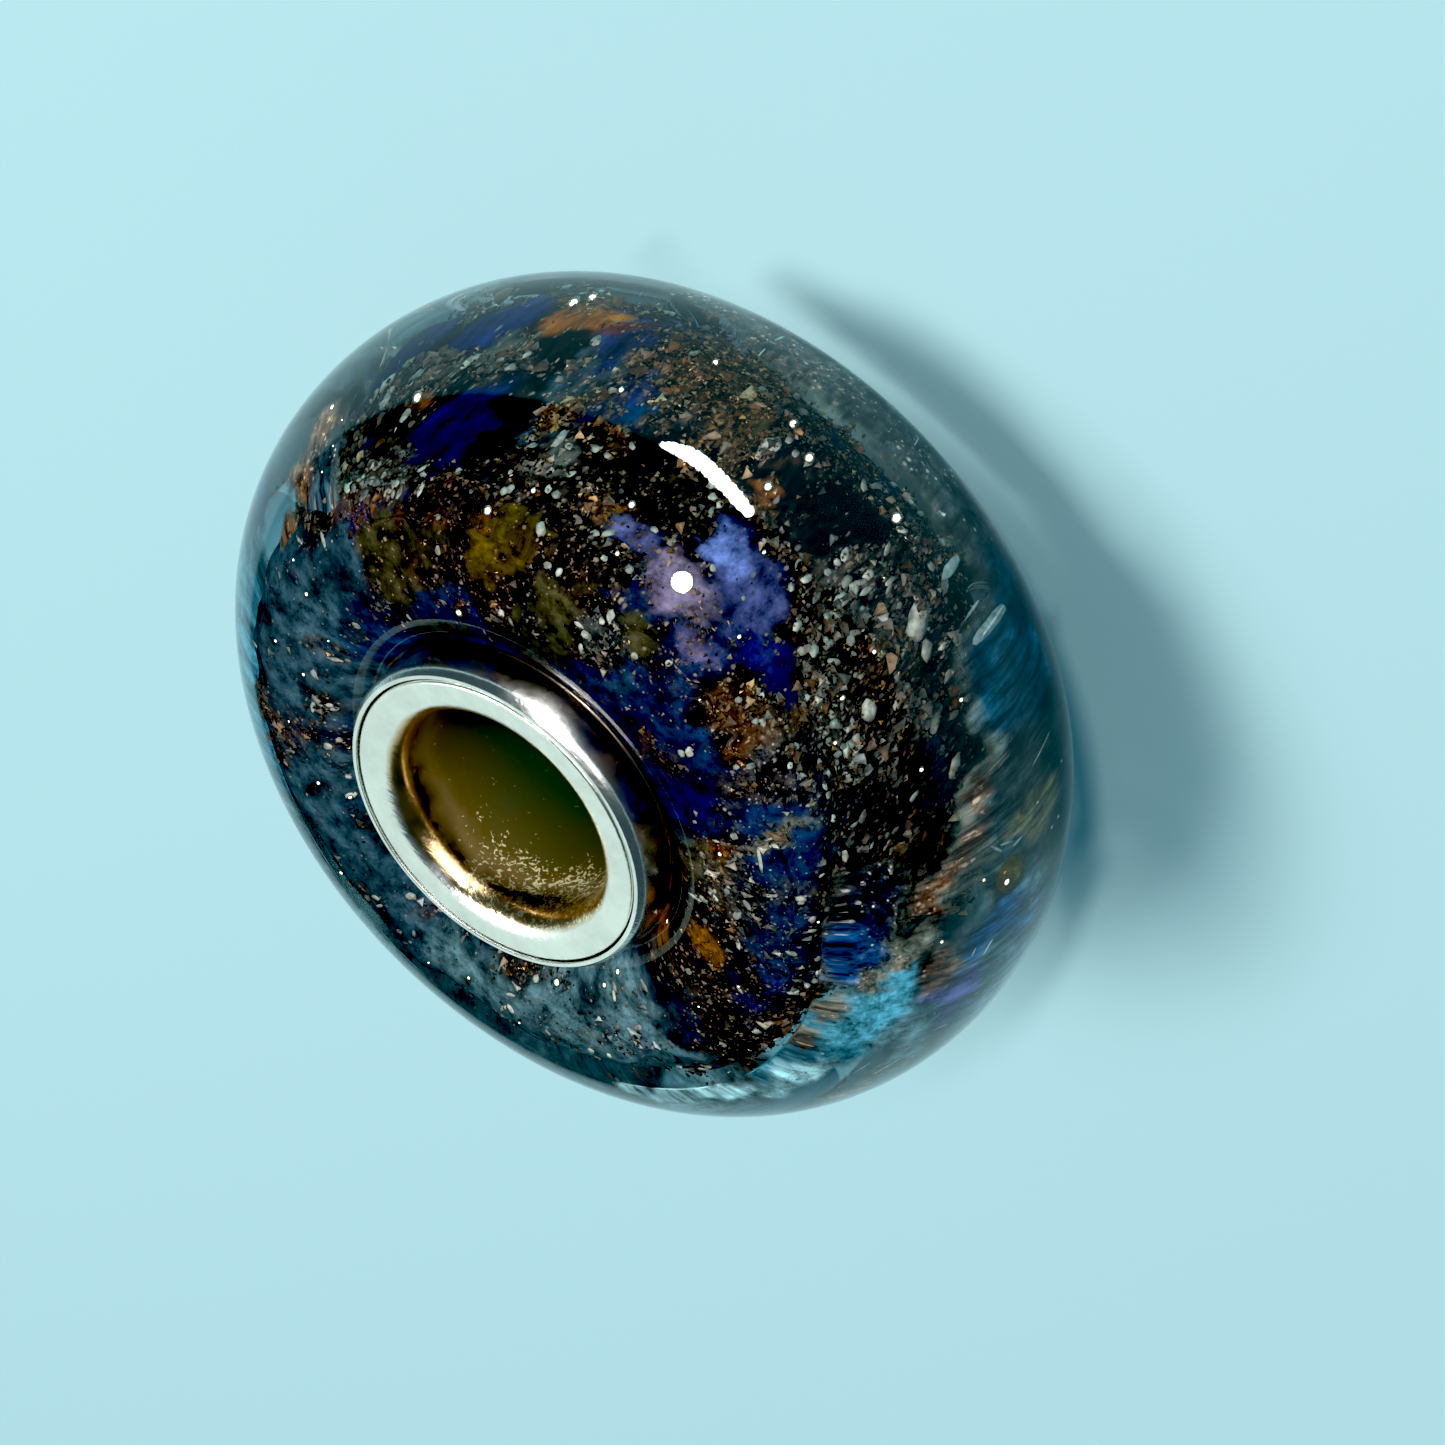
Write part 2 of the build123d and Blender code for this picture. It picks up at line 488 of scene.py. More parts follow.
class BEAD_OT_casing(Operator):
    """Clear glass barrel, thicker on one side, with a dimple round the bore at each end."""

    bl_idname = "bead.casing"
    bl_label = "Clear casing"

    def execute(self, context):
        sizes = context.scene.bead_sizes
        shift = Vector((*sizes.barrel_shift, 0))
        hole_r = sizes.bore_r + sizes.tube_wall + sizes.fit_gap
        lip_turn = acos(1 - sizes.dimple_depth / sizes.lip_r)
        lip_centre_r = sizes.collar_r + sizes.dimple_margin + sizes.lip_r * sin(lip_turn)
        crest_r = lip_centre_r + shift.length + sizes.crest_flat
        seat_z = sizes.crest_z - sizes.dimple_depth
        edge = 0.06 * mm
        slack = 0.01 * mm
        wave = 6 * mm

        swell = sizes.barrel_r - crest_r
        side = [(crest_r + swell * cos(radians(a)), sizes.crest_z * sin(radians(a))) for a in range(0, 91, 3)]
        lip = arc((lip_centre_r, sizes.crest_z - sizes.lip_r), sizes.lip_r, 90, 90 + lip_turn * 180 / pi, 10)
        rim = arc((hole_r + edge, seat_z - edge), edge, 90, 180, 4)
        upper = side + lip + line(lip[-1], rim[0], 8) + rim + line(rim[-1], (hole_r, 0), 6)
        lower = [(r, -z) for r, z in reversed(upper[1:])]
        piece = lathe("casing_glass", upper + [(hole_r, 0)] + lower, glass_steps)

        select_where(piece, lambda place: Vector(place.xy).length > crest_r - slack)
        bpy.ops.transform.translate(value=shift)
        group = group_selected(piece)
        refine(piece)
        lumps(piece, sizes.unevenness, wave, group)
        piece.vertex_groups.clear()
        finish_piece(piece, replaced=["clear_casing"], material=clear_glass(context))
        return {"FINISHED"}


def clear_glass(context):
    """Polished clear glass. Light from lamps passes straight through to what lies inside."""
    look = context.scene.bead_glass
    material, tree, output = new_material("clear_glass")
    glass = tree_node(tree, "BsdfPrincipled", {
        "Base Color": (*look.tint, 1), "Roughness": 0.0, "IOR": glass_ior, "Transmission Weight": 1.0})
    clear = tree_node(tree, "BsdfTransparent", {"Color": (1, 1, 1, 1)})
    path = tree_node(tree, "LightPath").outputs
    passing = math_node(tree, "MAXIMUM", path["Is Shadow Ray"], path["Is Diffuse Ray"])
    mixed = tree_node(tree, "MixShader", {0: passing, 1: glass.outputs[0], 2: clear.outputs[0]})
    tree.links.new(mixed.outputs[0], output.inputs["Surface"])
    return material


glass_colors = {
    "black": (0.001, 0.001, 0.002),
    "ink": (0.006, 0.012, 0.030),
    "navy": (0.008, 0.035, 0.095),
    "cobalt": (0.018, 0.026, 0.13),
    "ultramarine": (0.13, 0.12, 0.28),
    "periwinkle": (0.27, 0.29, 0.66),
    "lake": (0.012, 0.075, 0.19),
    "slate": (0.058, 0.105, 0.135),
    "teal": (0.005, 0.026, 0.045),
    "sea": (0.030, 0.120, 0.160),
    "dusk": (0.014, 0.022, 0.024),
    "olive": (0.085, 0.070, 0.034),
    "olive gold": (0.14, 0.090, 0.006),
    "umber": (0.140, 0.068, 0.034),
    "rust": (0.060, 0.026, 0.014),
    "ochre": (0.34, 0.14, 0.020),
    "goldstone": (0.50, 0.13, 0.012),
    "plum": (0.12, 0.014, 0.018),
    "mauve": (0.34, 0.22, 0.33),
    "smoke": (0.135, 0.140, 0.115),
    "violet": (0.13, 0.12, 0.34),
    "haze": (0.150, 0.260, 0.290),
    # The next two stand for the floor seen through the clear rim: painted shade and painted light
    "painted_floor_shade": (0.115, 0.360, 0.460),
    "painted_floor_light": (0.60, 0.95, 1.00),
    "ash": (0.26, 0.30, 0.29),
    "pale": (0.50, 0.58, 0.56),
    "tan": (0.32, 0.19, 0.11),
}
dark_glasses = ("black", "ink", "navy", "cobalt", "slate", "teal", "umber", "olive")
hidden_glasses = list(glass_colors)[:list(glass_colors).index("mauve")]    # all down to plum

# Random mottles of the core, laid before the grounds below or after them: how many, of which glasses, their
# half sizes in mm from and to, their strength, and whether they lie on the hidden side alone.
mottles_under = ((130, dark_glasses, 0.3, 0.9, 1.0, False), (90, hidden_glasses, 0.2, 0.6, 1.0, True))
mottles_over = ((700, dark_glasses, 0.10, 0.30, 0.40, False),)

# How the edge of a patch is torn: the size of each noise and how far it pushes, in mm, and the noise's seed.
torn_edges = ((0.8, 0.26, 1), (0.24, 0.14, 2))

# Patches of colour on the core. px and py are where the camera sees the patch, in pixels, across and along
# are its half sizes in mm round the bead and along its meridian, dust is the share of it that grains cover,
# and warmth goes from grey grains to copper ones.
Patch = namedtuple("Patch", "glass px py across along dust warmth")
grounds = [Patch(*row) for row in (
    ("slate", 310, 640, 1.5, 1.8, 0.15, 0.35), ("slate", 340, 830, 1.4, 1.6, 0.15, 0.25),
    ("slate", 430, 940, 1.5, 1.2, 0.16, 0.15), ("haze", 500, 1010, 1.5, 0.7, 0.24, 0.10),
    ("haze", 600, 1020, 1.5, 1.0, 0.26, 0.15), ("haze", 640, 1050, 1.4, 0.4, 0.34, 0.10),
    ("navy", 400, 640, 1.0, 0.8, 0.20, 0.3), ("navy", 610, 720, 1.0, 1.3, 0.15, 0.4),
    ("cobalt", 655, 760, 0.7, 1.0, 0.06, 0.3), ("navy", 690, 780, 1.0, 1.0, 0.25, 0.4),
    ("navy", 690, 620, 1.0, 1.0, 0.30, 0.6), ("black", 450, 400, 1.2, 1.4, 0.20, 0.4),
    ("black", 700, 400, 1.2, 1.5, 0.65, 0.8), ("black", 850, 500, 1.3, 1.6, 0.50, 0.5),
    ("black", 870, 680, 1.3, 1.5, 0.80, 0.35), ("ink", 800, 800, 1.0, 1.0, 0.55, 0.35),
    ("ink", 830, 880, 1.1, 1.4, 0.52, 0.15), ("teal", 1010, 620, 0.6, 0.9, 0.20, 0.3),
    ("navy", 970, 560, 0.4, 0.7, 0.30, 0.3), ("black", 940, 640, 0.5, 0.6, 0.40, 0.3),
)]
patches = [Patch(*row) for row in (
    ("cobalt", 450, 425, 0.55, 1.0, 0.03, 0.2), ("slate", 340, 560, 0.6, 0.6, 0.15, 0.2),
    ("black", 400, 380, 0.9, 1.0, 0.42, 0.4), ("black", 500, 345, 1.0, 0.9, 0.45, 0.4),
    ("cobalt", 405, 352, 0.60, 0.5, 0.08, 0.3), ("cobalt", 490, 325, 0.60, 0.5, 0.08, 0.3),
    ("black", 500, 430, 0.28, 0.8, 0.02, 0.3), ("smoke", 430, 372, 0.55, 0.22, 0.75, 0.4),
    ("smoke", 506, 348, 0.42, 0.25, 0.75, 0.5), ("goldstone", 578, 314, 0.50, 0.36, 0.15, 1.0),
    ("black", 565, 347, 0.35, 0.25, 0.10, 0.6), ("plum", 636, 330, 0.32, 0.30, 0.40, 0.9),
    ("cobalt", 612, 352, 0.20, 0.45, 0.15, 0.5), ("cobalt", 680, 340, 0.45, 0.50, 0.45, 0.6),
    ("cobalt", 625, 400, 0.34, 0.60, 0.50, 0.4), ("lake", 640, 418, 0.12, 0.26, 0.10, 0.2),
    ("rust", 740, 370, 0.7, 0.9, 0.62, 0.9), ("olive", 735, 425, 0.35, 0.35, 0.60, 0.9),
    ("black", 665, 450, 0.32, 0.6, 0.15, 0.5), ("umber", 566, 412, 0.22, 0.65, 0.90, 0.9),
    ("smoke", 548, 466, 0.16, 0.65, 0.90, 0.3), ("umber", 600, 500, 0.30, 0.35, 0.80, 0.7),
    ("ultramarine", 640, 540, 0.50, 0.30, 0.35, 0.6), ("olive gold", 503, 538, 0.62, 0.48, 0.22, 0.7),
    ("olive gold", 478, 570, 0.25, 0.22, 0.20, 0.7), ("umber", 436, 524, 0.28, 0.14, 0.35, 0.8),
    ("olive", 385, 556, 0.62, 0.45, 0.20, 0.6), ("olive", 420, 545, 0.48, 0.26, 0.20, 0.6),
    ("navy", 440, 605, 0.7, 0.3, 0.20, 0.5), ("lake", 405, 645, 0.6, 0.4, 0.06, 0.3),
    ("navy", 480, 650, 0.7, 0.4, 0.05, 0.3), ("olive", 556, 602, 0.38, 0.34, 0.15, 0.5),
    ("teal", 520, 584, 0.32, 0.14, 0.10, 0.5), ("mauve", 684, 590, 0.50, 0.60, 0.28, 0.8),
    ("ultramarine", 745, 600, 0.50, 0.85, 0.12, 0.3), ("cobalt", 770, 665, 0.60, 0.55, 0.25, 0.5),
    ("ultramarine", 700, 650, 0.40, 0.30, 0.45, 0.7), ("periwinkle", 733, 552, 0.32, 0.42, 0.03, 0.2),
    ("black", 830, 520, 0.60, 0.60, 0.10, 0.4), ("black", 780, 490, 0.40, 0.40, 0.15, 0.4),
    ("rust", 742, 708, 0.40, 0.26, 0.60, 0.7), ("rust", 742, 750, 0.26, 0.28, 0.50, 0.8),
    ("lake", 690, 745, 0.40, 0.55, 0.15, 0.5), ("cobalt", 684, 800, 0.40, 0.70, 0.06, 0.3),
    ("navy", 650, 690, 0.36, 0.6, 0.25, 0.4), ("dusk", 600, 642, 0.45, 0.45, 0.48, 0.3),
    ("olive", 640, 640, 0.35, 0.30, 0.20, 0.4), ("navy", 785, 850, 0.70, 0.70, 0.30, 0.15),
    ("umber", 893, 850, 0.28, 0.36, 0.90, 0.6), ("ochre", 722, 853, 0.22, 0.20, 0.3, 1.0),
    ("ochre", 664, 918, 0.30, 0.34, 0.3, 1.0), ("ochre", 708, 952, 0.28, 0.36, 0.3, 0.9),
    ("smoke", 770, 845, 0.14, 0.80, 0.5, 0.4), ("navy", 790, 950, 0.9, 0.6, 0.34, 0.1),
    ("cobalt", 760, 1000, 0.7, 0.26, 0.35, 0.2), ("lake", 860, 985, 0.6, 0.3, 0.20, 0.2),
    ("black", 905, 890, 0.60, 0.60, 0.85, 0.6), ("rust", 985, 790, 0.20, 0.26, 0.95, 1.0),
    ("rust", 972, 825, 0.22, 0.26, 0.95, 1.0), ("rust", 958, 860, 0.22, 0.26, 0.95, 1.0),
    ("rust", 942, 893, 0.22, 0.26, 0.95, 1.0), ("umber", 300, 480, 0.28, 1.0, 0.85, 0.85),
    ("smoke", 345, 480, 0.35, 0.40, 0.60, 0.3),
)]


def outline_of_core(sizes):
    """Closed outline of the coloured glass, inside the casing and clear of its hole."""
    hole_clear = 0.04 * mm
    hole_round = 0.10 * mm
    rim_round = 0.30 * mm
    dish_round = 0.20 * mm
    spacing = 0.30 * mm
    inner_r = sizes.bore_r + sizes.tube_wall + sizes.fit_gap + hole_clear
    seat_r = sizes.collar_r + sizes.dimple_margin
    dish_z = sizes.crest_z - sizes.dimple_depth - sizes.core_dish_clear
    return rounded([
        (inner_r, sizes.core_foot_z, hole_round),
        (sizes.core_foot_r, sizes.core_foot_z, sizes.core_foot_round),
        (sizes.core_rim_r, sizes.core_rim_z, sizes.core_rim_round),
        (sizes.core_rim_r - sizes.core_rim_w, sizes.core_rim_z, rim_round),
        (seat_r, dish_z, dish_round),
        (inner_r, dish_z, hole_round),
    ], spacing)


def axes_on(normals, turns):
    """Right-handed axes on a surface: across, along the meridian turned by an angle, and out."""
    out = normals / np.linalg.norm(normals, axis=1)[:, None]
    across = np.cross(np.array((0.0, 0.0, 1.0)) + out * 1e-6, out)
    across /= np.linalg.norm(across, axis=1)[:, None] + 1e-12
    along = np.cross(out, across)
    turn_cos, turn_sin = np.cos(turns)[:, None], np.sin(turns)[:, None]
    return np.stack([across * turn_cos + along * turn_sin, along * turn_cos - across * turn_sin, out], axis=1)


def smooth_step(value):
    """Eases 0 to 1."""
    value = np.clip(value, 0, 1)
    return value * value * (3 - 2 * value)


def noise_at(places, size, seed):
    """Soft noise vectors, about -1 to 1, at an array of places."""
    noise.seed_set(noise_seed)
    offset = Vector([seed * step for step in noise_offsets])
    return np.array([noise.turbulence_vector(Vector(place) / size + offset, 3, False) for place in places])


class Painter:
    """Lays ragged patches of coloured glass on a piece's vertices."""

    def __init__(self, piece, glass, dust):
        self.piece = piece
        self.places = np.array([vertex.co for vertex in piece.data.vertices])
        self.normals = np.array([vertex.normal for vertex in piece.data.vertices])
        self.wandered = self.places + sum(
            noise_at(self.places, size * mm, seed) * push * mm for size, push, seed in torn_edges)
        self.color = np.tile(glass_colors[glass], (len(self.places), 1))
        self.dust = np.full(len(self.places), dust)
        self.warmth = np.full(len(self.places), 0.5)

    def lay(self, glass, centre, normal, across, along, dust, warmth, strength=1.0):
        """One patch round a point of the surface, with half sizes across and along the meridian."""
        frame = axes_on(np.array([normal]), np.zeros(1))[0]
        half = np.array((across, along, max(across, along)))
        reach = np.linalg.norm((self.wandered - np.array(centre)) @ frame.T / half, axis=1)
        edge_end, edge_width = 1.2, 0.4
        share = smooth_step((edge_end - reach) / edge_width) * strength
        self.color += (np.array(glass_colors[glass]) - self.color) * share[:, None]
        self.dust += (dust - self.dust) * share
        self.warmth += (warmth - self.warmth) * share

    def lay_seen(self, listed, cast):
        """The listed patches, each where the camera's ray at its pixel meets the piece."""
        for patch in listed:
            seen = cast(patch.px, patch.py)
            if seen:
                self.lay(patch.glass, *seen, patch.across * mm, patch.along * mm, patch.dust, patch.warmth)

    def scatter(self, draw, count, glasses, least, most, strength, hidden):
        """Patches at random places, on the side away from the camera alone where hidden is set."""
        back = camera_axes(bpy.context.scene.bead_studio).col[2]
        seen_from = 0.2
        for _ in range(count):
            index = draw.randrange(len(self.places))
            size = draw.uniform(least, most) * mm
            glass, stretch, dust, warmth = (
                draw.choice(glasses), draw.uniform(0.8, 2.0), draw.uniform(0.05, 0.7), draw.random())
            place = Vector(self.places[index])
            if not hidden or place.normalized().dot(back) < seen_from:
                self.lay(glass, place, self.normals[index], size, size * stretch, dust, warmth, strength)

    def store(self, flow):
        """Writes the colours on the piece, with the map that its grain follows."""
        data = self.piece.data
        store_tint(data, self.color)
        for name, values in (("dust", self.dust), ("warmth", self.warmth)):
            data.attributes.new(name, "FLOAT", "POINT").data.foreach_set("value", values)
        data.attributes.new("flow", "FLOAT_VECTOR", "POINT").data.foreach_set("vector", flow.ravel())


least_halo = 0.35          # of a spark's warmth, below which it has no halo
halo_reach = 1.5           # halo's half size in a spark's radii
bare_r = 2.9 * mm          # from the bore's axis: inside this the glass has hardly any grains or flakes
dusty_over = 0.8 * mm      # stretch outside that over which they become as dense as they are painted


def paint_core(piece, sizes, look):
    """Paints the core: broad grounds, then mottles, then the patches that the camera sees."""
    draw = random.Random(look.seed)
    sight = Sight()
    painter = Painter(piece, "black", 0.4)
    for mottle in mottles_under:
        painter.scatter(draw, *mottle)
    painter.lay_seen(grounds, sight.on_core)
    for mottle in mottles_over:
        painter.scatter(draw, *mottle)
    painter.lay_seen(patches, sight.on_core)
    for spark in sparks:
        seen = sight.on_core(spark.px, spark.py)
        if seen and spark.warmth > least_halo:
            halo = halo_reach * spark.radius * spark.warmth * mm
            painter.lay("goldstone", *seen, halo, halo, 0.9, 1.0, 0.7)
    radius = np.hypot(painter.places[:, 0], painter.places[:, 1])
    painter.dust *= 0.1 + 0.9 * smooth_step((radius - bare_r) / dusty_over)
    painter.store(flow_of(painter.places, painter.normals, sizes))


def flow_of(places, normals, sizes):
    """Places wrapped on a drum, where the height runs along the meridian and is drawn out on the side."""
    side = 1 - smooth_step((np.abs(normals[:, 2]) - 0.5) / 0.4)
    radius = np.hypot(places[:, 0], places[:, 1])
    drum_r = (sizes.core_rim_r + sizes.core_foot_r) / 2
    slope = (sizes.core_rim_r - sizes.core_foot_r) / (sizes.core_rim_z - sizes.core_foot_z)
    side_r = sizes.core_foot_r + slope * (places[:, 2] - sizes.core_foot_z)
    along = places[:, 2] + np.clip(places[:, 2] / mm, -1, 1) * (side_r - radius)
    wrap = (drum_r / radius) ** side
    return np.column_stack([places[:, 0] * wrap, places[:, 1] * wrap, along * (0.30 + 0.25 * side)])


def node_group(name, inputs, outputs):
    """A new shader node group, its input sockets and its output sockets."""
    tree = bpy.data.node_groups.new(name, "ShaderNodeTree")
    for direction, sockets in (("INPUT", inputs), ("OUTPUT", outputs)):
        for socket, kind in sockets.items():
            tree.interface.new_socket(socket, in_out=direction, socket_type="NodeSocket" + kind)
    return tree, tree.nodes.new("NodeGroupInput").outputs, tree.nodes.new("NodeGroupOutput").inputs


grit_grey = (0.18, 0.195, 0.195, 1)
grit_copper = (0.32, 0.135, 0.05, 1)
grit_grains = ((12000.0, 2.4), (21000.0, 3.2))    # how fine each size of grain is, and its brightest


def glass_grit():
    """Node group of coloured glass, mottled, with fine pale and copper grains where it is dusty."""
    if "glass_grit" in bpy.data.node_groups:
        return bpy.data.node_groups["glass_grit"]
    inputs = {"Tint": "Color", "Dust": "Float", "Warmth": "Float", "Flow": "Vector"}
    tree, given, made = node_group("glass_grit", inputs, {"Color": "Color"})
    flow, dust = given["Flow"], given["Dust"]
    cloud = noise_node(tree, flow, 900.0, 2.0, 0.6)
    mottle = noise_node(tree, flow, 3600.0, 4.0, 0.75)
    broad = ranged(tree, cloud, 0.35, 0.65, 0.5, 1.5)
    fine = ranged(tree, mottle, 0.32, 0.68, 0.20, 1.8)
    color = mix_colors(tree, 1.0, given["Tint"], math_node(tree, "MULTIPLY", broad, fine), "MULTIPLY")
    grit = tree_node(tree, "ValToRGB", {0: given["Warmth"]})
    grit.color_ramp.elements[0].color = grit_grey
    grit.color_ramp.elements[1].color = grit_copper
    haze = noise_node(tree, flow, 5200.0, 4.0, 0.8)
    drift = ranged(tree, haze, 0.42, 0.60)
    ground = ranged(tree, mottle, 0.35, 0.65, 0.2, 1.6)
    powder = mix_colors(tree, 1.0, grit.outputs[0], ground, "MULTIPLY")
    powdered = math_node(tree, "MULTIPLY", drift, math_node(tree, "POWER", dust, 1.3))
    color = mix_colors(tree, powdered, color, powder)
    clumps = ranged(tree, haze, 0.40, 0.60, 0.05, 1.1)
    share = math_node(tree, "MULTIPLY", math_node(tree, "POWER", dust, 1.6), clumps)
    for scale, brightest in grit_grains:
        cells = tree_node(tree, "TexVoronoi", {"Vector": flow, "Scale": scale, "Randomness": 1.0}).outputs
        pick = tree_node(tree, "SeparateColor", {0: cells["Color"]}).outputs
        dot = ranged(tree, cells["Distance"], 0.5, 0.25)
        shade = ranged(tree, pick[1], 0.0, 1.0, 0.3, brightest)
        speck = mix_colors(tree, 1.0, grit.outputs[0], shade, "MULTIPLY")
        chosen = math_node(tree, "LESS_THAN", pick[0], share)
        color = mix_colors(tree, math_node(tree, "MULTIPLY", chosen, dot), color, speck)
    tree.links.new(color, made["Color"])
    return tree


def grain_mottle():
    """Node group of one grain's colour, mottled."""
    if "grain_mottle" in bpy.data.node_groups:
        return bpy.data.node_groups["grain_mottle"]
    tree, given, made = node_group("grain_mottle", {"Tint": "Color"}, {"Color": "Color"})
    place = tree_node(tree, "TexCoord").outputs["Object"]
    level = ranged(tree, noise_node(tree, place, 9000.0, 3.0), 0.3, 0.7, 0.5, 1.5)
    tree.links.new(mix_colors(tree, 1.0, given["Tint"], level, "MULTIPLY"), made["Color"])
    return tree


def painted(tree):
    """Sockets of what a painter stored on a piece: tint, dust, warmth and flow."""
    kinds = {"tint": "Color", "dust": "Fac", "warmth": "Fac", "flow": "Vector"}
    return [tree_node(tree, "Attribute", attribute_name=name).outputs[kind] for name, kind in kinds.items()]


def core_glass(context):
    """Dark painted glass with fine grains drawn out along the meridians."""
    material, tree, output = new_material("core_glass")
    tint, dust, warmth, flow = painted(tree)
    grit = tree_node(tree, "Group", {"Tint": tint, "Dust": dust, "Warmth": warmth, "Flow": flow},
                     node_tree=glass_grit())
    shader = tree_node(tree, "BsdfPrincipled", {
        "Base Color": grit.outputs[0], "Roughness": 0.6, "Specular IOR Level": 0.0})
    tree.links.new(shader.outputs[0], output.inputs["Surface"])
    return material


class BEAD_OT_core(Operator):
    """Dark coloured glass round the tube, lumpy outside, painted in patches."""

    bl_idname = "bead.core"
    bl_label = "Coloured core"

    def execute(self, context):
        sizes = context.scene.bead_sizes
        lumpy_r = 2.4 * mm
        piece = lathe("core_glass", outline_of_core(sizes), core_steps)
        select_where(piece, lambda place: Vector(place.xy).length > lumpy_r)
        group = group_selected(piece)
        refine(piece, 2)
        for share, size in ((1.0, 1.3 * mm), (0.4, 0.4 * mm)):
            lumps(piece, sizes.core_lumps * share, size, group)
        piece.vertex_groups.clear()
        paint_core(piece, sizes, context.scene.bead_glass)
        finish_piece(piece, replaced=["color_core"], material=core_glass(context))
        return {"FINISHED"}


def pebbles(name, primitive, centres, frames, tints, roughness, seed):
    """One mesh of many small closed stones, copies of one primitive, each with its place, axes and colour."""
    deselect()
    primitive()
    model = bpy.context.object
    base = np.array([vertex.co for vertex in model.data.vertices])
    faces = np.array([face.vertices for face in model.data.polygons])
    bpy.ops.object.delete()
    draw = np.random.default_rng(seed)
    shapes = base * (1 + roughness * draw.uniform(-1, 1, (len(centres), len(base), 1)))
    places = centres[:, None, :] + shapes @ frames
    corners = faces + np.arange(len(centres))[:, None, None] * len(base)
    mesh = bpy.data.meshes.new(name)
    mesh.from_pydata(places.reshape(-1, 3).tolist(), [], corners.reshape(-1, faces.shape[1]).tolist())
    store_tint(mesh, np.repeat(tints, len(base), axis=0))
    piece = bpy.data.objects.new(name, mesh)
    bpy.context.collection.objects.link(piece)
    return piece


def splinter():
    """The smallest stone, of twelve faces."""
    bpy.ops.mesh.primitive_uv_sphere_add(segments=3, ring_count=3, radius=1)
    bpy.ops.object.mode_set(mode="EDIT")
    bpy.ops.mesh.quads_convert_to_tris()
    bpy.ops.object.mode_set(mode="OBJECT")


def ball():
    """A rounder stone, of eighty faces."""
    bpy.ops.mesh.primitive_ico_sphere_add(subdivisions=2, radius=1)


def core_surface():
    """Places, normals, dust, warmth and radii of the core's vertices."""
    data = bpy.data.objects["core_glass"].data
    count = len(data.vertices)
    places, normals = np.empty(count * 3), np.empty(count * 3)
    dust, warmth = np.empty(count), np.empty(count)
    data.vertices.foreach_get("co", places)
    data.vertices.foreach_get("normal", normals)
    data.attributes["dust"].data.foreach_get("value", dust)
    data.attributes["warmth"].data.foreach_get("value", warmth)
    places = places.reshape(-1, 3)
    return places, normals.reshape(-1, 3), dust, warmth, np.hypot(places[:, 0], places[:, 1])


def inclusion_material(name, metallic, roughness):
    """Opaque grains set in the glass, coloured one by one and mottled."""
    material, tree, output = new_material(name)
    tint = tree_node(tree, "Attribute", attribute_name="tint").outputs["Color"]
    color = tree_node(tree, "Group", {"Tint": tint}, node_tree=grain_mottle()).outputs[0]
    shader = tree_node(tree, "BsdfPrincipled", {
        "Base Color": color, "Metallic": metallic, "Roughness": roughness,
        "Specular IOR Level": 0.5 if metallic else 0.0})
    tree.links.new(shader.outputs[0], output.inputs["Surface"])
    return material
